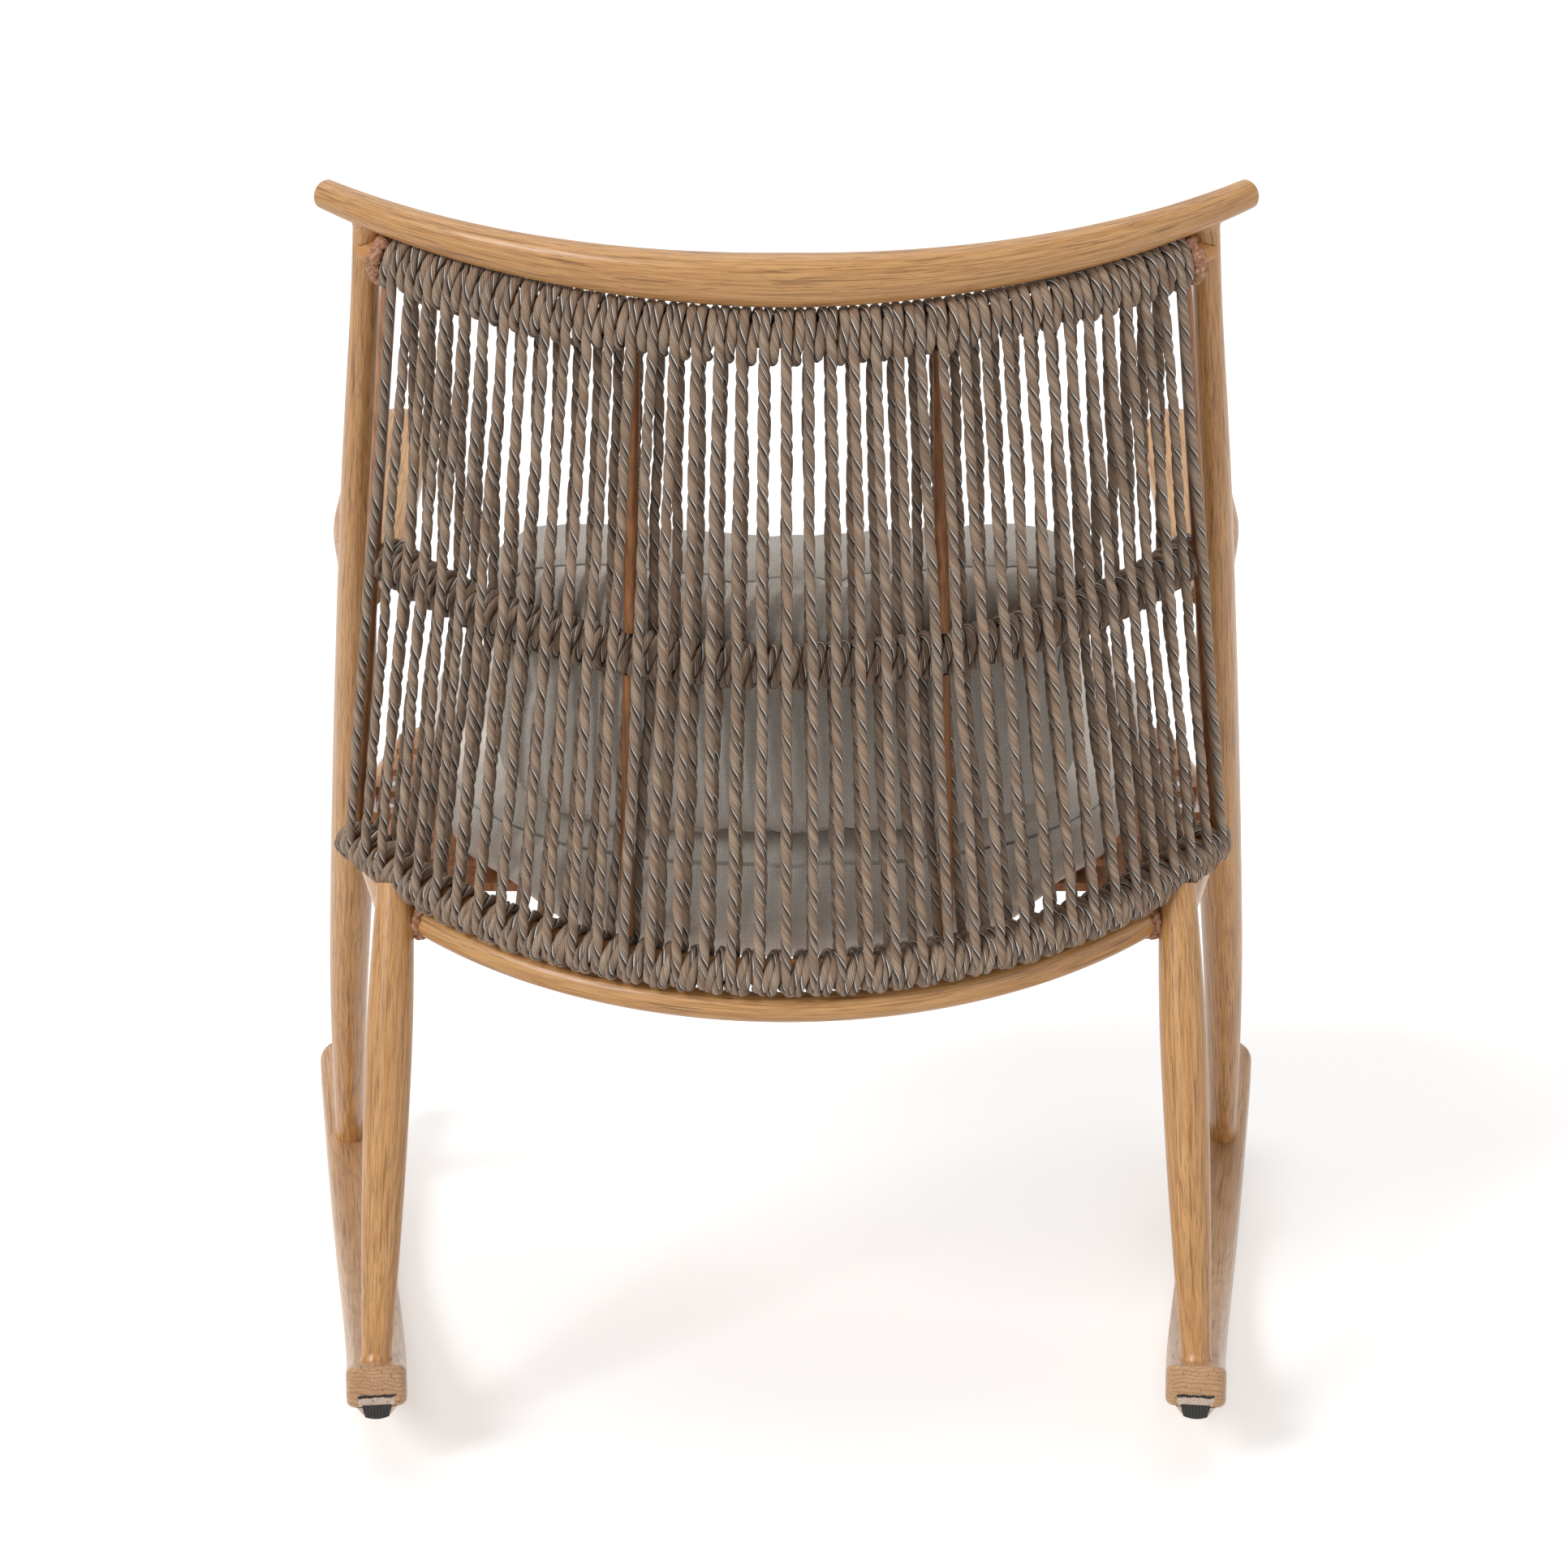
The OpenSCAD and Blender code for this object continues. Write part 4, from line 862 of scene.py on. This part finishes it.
# Straight ropes: strung by hand in a rear layer from the top rail to the bottom rail, and in a front layer
# that also touches the middle rail. Each rear rope comes over the top rail and goes on under the bottom rail.
top_end, bottom_end = on_bow(top, top.half_angle), on_bow(bottom, bottom.half_angle)
middle_z = 0.592
post_at_middle = top_end + (bottom_end - top_end) * (middle_z - top_end[2]) / (bottom_end[2] - top_end[2])
middle = bow(half=0.262, end_y=post_at_middle[1] - 0.008, end_z=middle_z, back=0.108, down=0.042)
# A rope's middle line lies this far from a rail's middle line
rope_off = 0.0118
rope_count = 39
chance = np.random.default_rng(11)


def rope_angle(b, i):
    """Where rope number i is on a rail."""
    return (b.half_angle - 0.011 / b.radius) * (2 * i / (rope_count - 1) - 1)


def rail_axes(b, a, down=(0, 0, -1)):
    """Directions to the rear and up, square to a rail at the angle a."""
    run = bow_run(b, a)
    rear = unit(np.cross(run, down))
    up = unit(np.cross(rear, run))
    return rear, up * (1 if up[2] > 0 else -1)


def rail_frame(b, other, i):
    """Rail point for rope number i, which runs to another rail, and its directions to the rear and up."""
    here, there = on_bow(b, rope_angle(b, i)), on_bow(other, rope_angle(other, i))
    down = unit(there - here) if here[2] > there[2] else unit(here - there)
    return here, *rail_axes(b, rope_angle(b, i), down)


def round_rail(b, a, rear, up, turn, radius):
    """Points beside a rail: turn 0 is above it and 90 degrees is at its rear."""
    heading = np.cos(turn)[..., None] * up + np.sin(turn)[..., None] * rear
    return on_bow(b, a) + np.asarray(radius)[..., None] * heading


def sway(path, size):
    """A slight irregular wave, in a path's middle only."""
    u = np.linspace(0, 1, len(path))
    fade = np.sin(math.pi * u)[:, None]
    p = chance.uniform(0, 2 * math.pi, 4)
    sideways, backwards = np.sin(7 * u + p[0]) + 0.5 * np.sin(17 * u + p[1]), 0.5 * np.sin(9 * u + p[2])
    return path + np.stack([sideways, backwards, 0 * u], axis=1) * fade * size


rear_paths, front_upper_paths, front_lower_paths = [], [], []
for i in range(rope_count):
    here, rear, up = rail_frame(top, bottom, i)
    low, low_rear, low_up = rail_frame(bottom, top, i)
    over = np.linspace(math.radians(-95), math.radians(90), 26)
    first = round_rail(top, rope_angle(top, i) + np.linspace(-0.0034, 0.0, 26) / top.radius, rear, up, over,
                       rope_off + 0.0034 * np.maximum(0, np.cos(over)) ** 2)
    under = np.linspace(math.radians(90), math.radians(262), 24)
    last = round_rail(bottom, rope_angle(bottom, i) + np.linspace(0.0, 0.004, 24) / bottom.radius,
                      low_rear, low_up, under, np.full(24, rope_off))
    between = straight(first[-1], last[0], 60)[1:-1]
    rear_paths.append(np.concatenate([first, sway(between, 0.0007), last]))
    mid, mid_rear, _ = rail_frame(middle, top, i)
    front_upper_paths.append(sway(straight(here - rear * rope_off, mid - mid_rear * rope_off, 40), 0.0006))
    mid, mid_rear, _ = rail_frame(middle, bottom, i)
    front_lower_paths.append(sway(straight(mid - mid_rear * rope_off, low - low_rear * rope_off, 40), 0.0006))
rope_piece("rear_layer_left", rear_paths[20:], [], 5)
rope_piece("rear_layer_right", rear_paths[:20], ["rear_ropes"], 6)
rope_piece("front_layer_upper", front_upper_paths, ["front_upper_ropes"], 7)
rope_piece("front_layer_lower", front_lower_paths, ["front_lower_ropes"], 8)


# Windings: rope wound round the rails between the straight ropes, which it holds apart. On the top rail one
# loop hangs in each gap, and on the middle and bottom rails two turns lean in each gap.
def coil(b, a0, a1, turn0, turn1, radius, slant, droop, rise, steps=26):
    """Path of a rope wound on a rail, from one angle of the rail to another. Turns lean by slant to each side,
    hang lower by droop and stand higher by rise."""
    points = []
    for u in np.linspace(0, 1, max(8, int(abs(turn1 - turn0) / 360 * steps))):
        turn = math.radians(turn0 + (turn1 - turn0) * u)
        a = a0 + (a1 - a0) * u - slant / b.radius * math.cos(turn)
        r = radius + droop * max(0.0, -math.cos(turn)) ** 2 + rise * max(0.0, math.cos(turn)) ** 2
        points.append(round_rail(b, a, *rail_axes(b, a), turn, r))
    return np.array(points)


top_paths, middle_paths, bottom_paths = [], [], []
step = rope_angle(top, 1) - rope_angle(top, 0)
for i in range(-1, rope_count):
    a = rope_angle(top, i) + step / 2
    drift = step * chance.uniform(0.04, 0.12)
    top_paths.append(coil(top, a + drift, a - drift, -185, 185, rope_off - 0.0003,
                          slant=chance.uniform(0.0016, 0.0030),
                          droop=chance.uniform(0.0022, 0.0050), rise=0.0034))
step = rope_angle(middle, 1) - rope_angle(middle, 0)
for i in range(-1, rope_count):
    a = rope_angle(middle, i) + step / 2
    lean = chance.uniform(0.0034, 0.0050)
    for shift in (-0.25, 0.25):
        middle_paths.append(coil(middle, a + step * (shift - 0.06), a + step * (shift + 0.06), 170, 550,
                                 rope_off - 0.0002, slant=lean, droop=chance.uniform(0.0, 0.0014), rise=0.0006))
step = rope_angle(bottom, 1) - rope_angle(bottom, 0)
for i in range(-1, rope_count):
    a = rope_angle(bottom, i)
    for shift in (0.34, 0.66) if i >= 0 else (0.66,):
        bottom_paths.append(coil(bottom, a + step * (shift - 0.03), a + step * (shift + 0.03), 150, 550,
                                 rope_off - 0.0003, slant=chance.uniform(0.0036, 0.0050),
                                 droop=chance.uniform(0.0018, 0.0034), rise=0.0))
rope_piece("top_winding", top_paths, ["top_rail_wrap"], 9)
rope_piece("middle_winding", middle_paths, ["middle_rail_wrap"], 10)
rope_piece("bottom_winding", bottom_paths, ["bottom_rail_wrap"], 12)


# Cushions: a wide boxed seat cushion whose rear follows the barrel of the back, and a small pillow bent to the
# barrel. Both are loosely filled, and their covers of grey linen are sewn with a seam round each face.

# Plain woven linen: dull, with a slight sheen and thicker threads here and there. Real threads are about 0.5 mm
# apart and are drawn 1.5 mm apart.
linen, tree, shader = material("plain_woven_linen")
coords = node(tree, "ShaderNodeTexCoord").outputs
place = coords["Object"]
parts = node(tree, "ShaderNodeSeparateXYZ", place).outputs
facing = node(tree, "ShaderNodeSeparateXYZ", coords["Normal"]).outputs
wobble = stretched_noise(tree, place, (70, 70, 70), 2.0)
threads = 0.0
for axis in ("X", "Y", "Z"):
    thread = node(tree, "ShaderNodeMath", weighed(tree, (wobble, 5.0), (parts[axis], 2 * math.pi / 0.0015)),
                  operation="SINE")
    square_on = node(tree, "ShaderNodeMath", facing[axis], operation="ABSOLUTE")
    square_on = node(tree, "ShaderNodeMath", square_on, 1.5, operation="POWER")
    shown = node(tree, "ShaderNodeMath", 1.0, square_on, operation="SUBTRACT")
    threads = node(tree, "ShaderNodeMath", thread, shown, threads, operation="MULTIPLY_ADD")
thread_gaps = node(tree, "ShaderNodeMapRange", threads, 0.1, -1.4, interpolation_type="SMOOTHSTEP")
slubs = [stretched_noise(tree, place, stretch, 2.0) for stretch in ((40, 700, 700), (700, 40, 40))]
slubs = node(tree, "ShaderNodeMath", *slubs, operation="MAXIMUM")
slubs = node(tree, "ShaderNodeMapRange", slubs, 0.56, 0.74, interpolation_type="SMOOTHSTEP")
flecks = patches(tree, place, (1100, 1100, 1100), 2.0, 0.3, 0.7)
# Metres from the two seams, and how far the surface is a side of the cushion
seams = node(tree, "ShaderNodeAttribute", attribute_name="seams").outputs["Vector"]
seams = node(tree, "ShaderNodeSeparateXYZ", seams).outputs
from_seams = [node(tree, "ShaderNodeMath", seams[axis], operation="ABSOLUTE") for axis in ("X", "Y")]
nearest = node(tree, "ShaderNodeMath", *from_seams, operation="MINIMUM")
off_seam = node(tree, "ShaderNodeMapRange", nearest, 0.0003, 0.0012, interpolation_type="SMOOTHSTEP")
on_seam = node(tree, "ShaderNodeMath", 1.0, off_seam, operation="SUBTRACT")
stitched = node(tree, "ShaderNodeMath", on_seam, seams["Z"], operation="MULTIPLY")
tone = painted(tree, linear("#DCD4C9"), (flecks, 1.0, "#F2EBE2"), (slubs, 0.45, "#F0E8DD"),
               (thread_gaps, 0.38, "#989085"), (stitched, 0.85, "#3A332D"))
height = weighed(tree, (threads, 0.35), (slubs, 0.5))
node(tree, shader, {
    "Base Color": tone, "Roughness": 0.88, "Sheen Weight": 0.25,
    "Normal": node(tree, "ShaderNodeBump", {"Height": height, "Strength": 0.45, "Distance": 0.0006}),
})


def per_point(items, key):
    """Three numbers for each point of a mesh."""
    flat = np.empty(len(items) * 3, np.float32)
    items.foreach_get(key, flat)
    return flat.reshape(-1, 3).astype(float)


def applied(piece):
    """Replaces the object's mesh by its evaluated one and removes the modifiers."""
    made = plain_mesh(piece)
    piece.modifiers.clear()
    old = piece.data
    piece.data = made
    bpy.data.meshes.remove(old)


def stuffed(name, rings, voxel, pressure, reach):
    """A filled cloth cushion over rings of points: remeshed, blown up by the cloth solver, held within reach
    of its pattern, and made finer."""
    rings = np.asarray(rings, float)
    mesh = bpy.data.meshes.new(name)
    mesh.from_pydata(with_middles(rings).tolist(), [], skin_faces(*rings.shape[:2]))
    piece = bpy.data.objects.new(name, mesh)
    scene.collection.objects.link(piece)
    remesh = piece.modifiers.new("remesh", "REMESH")
    remesh.mode = "VOXEL"
    remesh.voxel_size = voxel
    applied(piece)
    rest = per_point(piece.data.vertices, "co")
    cloth = piece.modifiers.new("cloth", "CLOTH")
    cloth.settings.quality = 4
    cloth.settings.mass = 0.3
    cloth.settings.tension_stiffness = 15
    cloth.settings.compression_stiffness = 15
    cloth.settings.shear_stiffness = 5
    cloth.settings.bending_stiffness = 0.5
    cloth.settings.use_pressure = True
    cloth.settings.uniform_pressure_force = pressure
    cloth.settings.effector_weights.gravity = 0
    cloth.collision_settings.use_collision = False
    cloth.point_cache.frame_start = 1
    cloth.point_cache.frame_end = 20
    for step in range(1, 21):
        scene.frame_set(step)
    applied(piece)
    scene.frame_set(1)
    moved = per_point(piece.data.vertices, "co") - rest
    far = np.linalg.norm(moved, axis=1, keepdims=True)
    held = rest + moved * np.minimum(1, reach / np.maximum(far, 1e-9))
    piece.data.vertices.foreach_set("co", held.astype(np.float32).ravel())
    piece.data.update()
    finer = piece.modifiers.new("finer", "SUBSURF")
    finer.levels = finer.render_levels = 1
    applied(piece)
    piece.data.shade_smooth()
    piece.data.materials.clear()
    piece.data.materials.append(linen)
    return piece


def sewn(piece, body, place, seams):
    """Gives a cushion its creased surface and its seams, and makes it the padded piece of its body."""
    piece.data.vertices.foreach_set("co", place.astype(np.float32).ravel())
    layer = piece.data.attributes.new("seams", "FLOAT_VECTOR", "POINT")
    layer.data.foreach_set("vector", np.stack(seams, axis=1).astype(np.float32).ravel())
    piece.data.update()
    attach(piece, body)
    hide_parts(body)


def ripple(points, scale, seed):
    """Smooth irregular waves in -1 to 1, the same each run."""
    source = np.random.default_rng(seed)
    total = np.zeros(len(points))
    for _ in range(7):
        direction = source.normal(size=3) * np.asarray(scale)
        total += np.sin(points @ direction + source.uniform(0, 2 * math.pi))
    return total / 3.5


def crease(points, scale, seed):
    """1 along the lines where irregular waves cross zero, 0 elsewhere."""
    return hump(ripple(points, scale, seed), 0, 0.16)


def powered(t, p):
    """Squares a circle's sine or cosine by a power below 1, and keeps its sign."""
    return np.sign(t) * np.abs(t) ** p


def cushion_base(y):
    """Height of the seat cushion's underside where it lies on the slats."""
    return seat_z(y) + seat_base


def seat_sag(x, y):
    """How far the cushion's underside hangs down behind the last slat, more in its middle."""
    middle_part = np.maximum(0, 1 - (x / 0.205) ** 2) ** 0.5
    return 0.0085 * smooth((y - 0.124) / 0.06) + 0.0210 * smooth((y - 0.140) / 0.03) * middle_part


seat_depth, seat_half, seat_edge, seat_crown = 0.456, 0.280, 0.056, 0.016
rope_reach = 0.0153
seat_rear_y = bottom.y - rope_reach - 0.0167
seat_front_y, seat_mid_y = seat_rear_y - seat_depth, seat_rear_y - seat_depth / 2
# Above the side rails' middle line: half a rail, the slats and two small gaps
seat_base = seat_tube / math.cos(seat_rise) + 0.00015 + 0.006 + 0.0003
turn = np.arange(96) * 2 * math.pi / 96
u, v = powered(np.cos(turn), 0.42), powered(np.sin(turn), 0.42)
y0 = seat_mid_y + v * seat_depth / 2
x0 = u * (seat_half - 0.044 * (y0 - seat_front_y) / seat_depth)
outline_x = x0 - np.sign(u) * 0.005 * (1 - v * v) * np.abs(u)
outline_y = y0 - np.maximum(0, v) * 0.118 * (x0 / seat_half) ** 2 - np.sign(v) * 0.005 * (1 - u * u) * np.abs(v)
rings = []
for inset, share in (
    (0.3, 0), (0.6, 0), (0.9, 0), (0.965, 0.06), (0.992, 0.22), (1, 0.5), (0.992, 0.78), (0.965, 0.94),
    (0.9, 1), (0.6, 1), (0.3, 1),
):
    x = outline_x * inset * 0.990
    y = seat_mid_y + (outline_y - seat_mid_y) * inset * 0.990
    dome = np.maximum(0, 1 - (x / seat_half) ** 2) * np.maximum(0, 1 - (2 * (y - seat_mid_y) / seat_depth) ** 2)
    z = cushion_base(y) + 0.001 + share * (seat_edge - 0.002) + dome * share * seat_crown
    rings.append(np.stack([x, y, z - seat_sag(x, y) * (1 - share)], axis=1))
seat_cushion = stuffed("seat_cushion_cover", rings, 0.006, 3.0, 0.006)
place, ways = per_point(seat_cushion.data.vertices, "co"), per_point(seat_cushion.data.vertex_normals, "vector")
sag = seat_sag(place[:, 0], place[:, 1])
base_z = cushion_base(place[:, 1]) - sag
height = (place[:, 2] - base_z) / (seat_edge + sag)
side_face = smooth((0.75 - np.abs(ways[:, 2])) / 0.5)
upper_seam, lower_seam = 0.90, 0.12
welt = hump(height, upper_seam, 0.045) + hump(height, lower_seam, 0.045)
wrinkle = ripple(place, (90, 90, 190), 21) * 0.0015 + ripple(place, (40, 40, 120), 22) * 0.0014
wrinkle -= crease(place, (45, 45, 70), 24) * 0.0026 + crease(place, (80, 80, 90), 25) * 0.0014
lift = ripple(place, (16, 16, 5), 23) * 0.0012 - crease(place, (22, 22, 5), 26) * 0.0010
lift = np.where(height > 0.7, lift, 0)
place += ways * (side_face * (wrinkle - 0.0022 * welt) + (1 - side_face) * lift)[:, None]
place[:, 2] = np.maximum(place[:, 2], base_z + 0.0002)
sewn(seat_cushion, "seat_cushion", place,
     [(height - upper_seam) * seat_edge, (height - lower_seam) * seat_edge, side_face])


def rope_wall(b, x):
    """Y of the inner side of the ropes on a rail."""
    centre = b.y - rope_reach - (b.radius - rope_reach) * math.cos(b.tilt)
    return centre + np.sqrt((b.radius - rope_reach) ** 2 - x * x) * math.cos(b.tilt)


def back_middle(x):
    """Y of the back cushion's middle surface at mid height."""
    return np.minimum(rope_wall(middle, x), rope_wall(bottom, x)) - 0.0043 - back_half


back_width, back_height, back_half, lean = 0.436, 0.212, 0.054, math.tan(math.radians(7))
back_mid_z = seat_rear_z + seat_base + seat_edge + 0.0007 + back_height / 2
u, v = powered(np.cos(turn), 0.5), powered(np.sin(turn), 0.5)
outline = np.stack([u * back_width / 2 - np.sign(u) * 0.024 * (1 - v * v) * np.abs(u),
                    v * back_height / 2 - np.sign(v) * 0.009 * (1 - u * u) * np.abs(v)], axis=1)
rings = []
for inset, share in (
    (0.3, 1), (0.6, 0.99), (0.86, 0.94), (0.96, 0.8), (1, 0.45), (1, 0), (1, -0.45), (0.96, -0.8),
    (0.86, -0.94), (0.6, -0.99), (0.3, -1),
):
    q = outline * inset * 0.985
    y = back_middle(q[:, 0]) + share * back_half * 0.97 + q[:, 1] * lean
    rings.append(np.stack([q[:, 0], y, back_mid_z + q[:, 1] - share * back_half * lean], axis=1))
back_cushion = stuffed("back_cushion_cover", rings, 0.005, 3.5, 0.004)
place, ways = per_point(back_cushion.data.vertices, "co"), per_point(back_cushion.data.vertex_normals, "vector")
depth = (place[:, 1] - back_middle(place[:, 0]) - (place[:, 2] - back_mid_z) * lean) / back_half
side_face = smooth((0.86 - np.abs(ways[:, 1])) / 0.4)
seam_at = 0.74
rim = (hump(depth, seam_at, 0.06) + hump(depth, -seam_at, 0.06)) * side_face
creases = ripple(place, (34, 20, 70), 31) * 0.0012 + ripple(place, (90, 60, 40), 32) * 0.0006
creases -= crease(place, (30, 20, 42), 33) * 0.0014
place += ways * (creases - 0.0015 * rim)[:, None]
sewn(back_cushion, "back_cushion", place,
     [(depth - seam_at) * back_half, (depth + seam_at) * back_half, side_face])
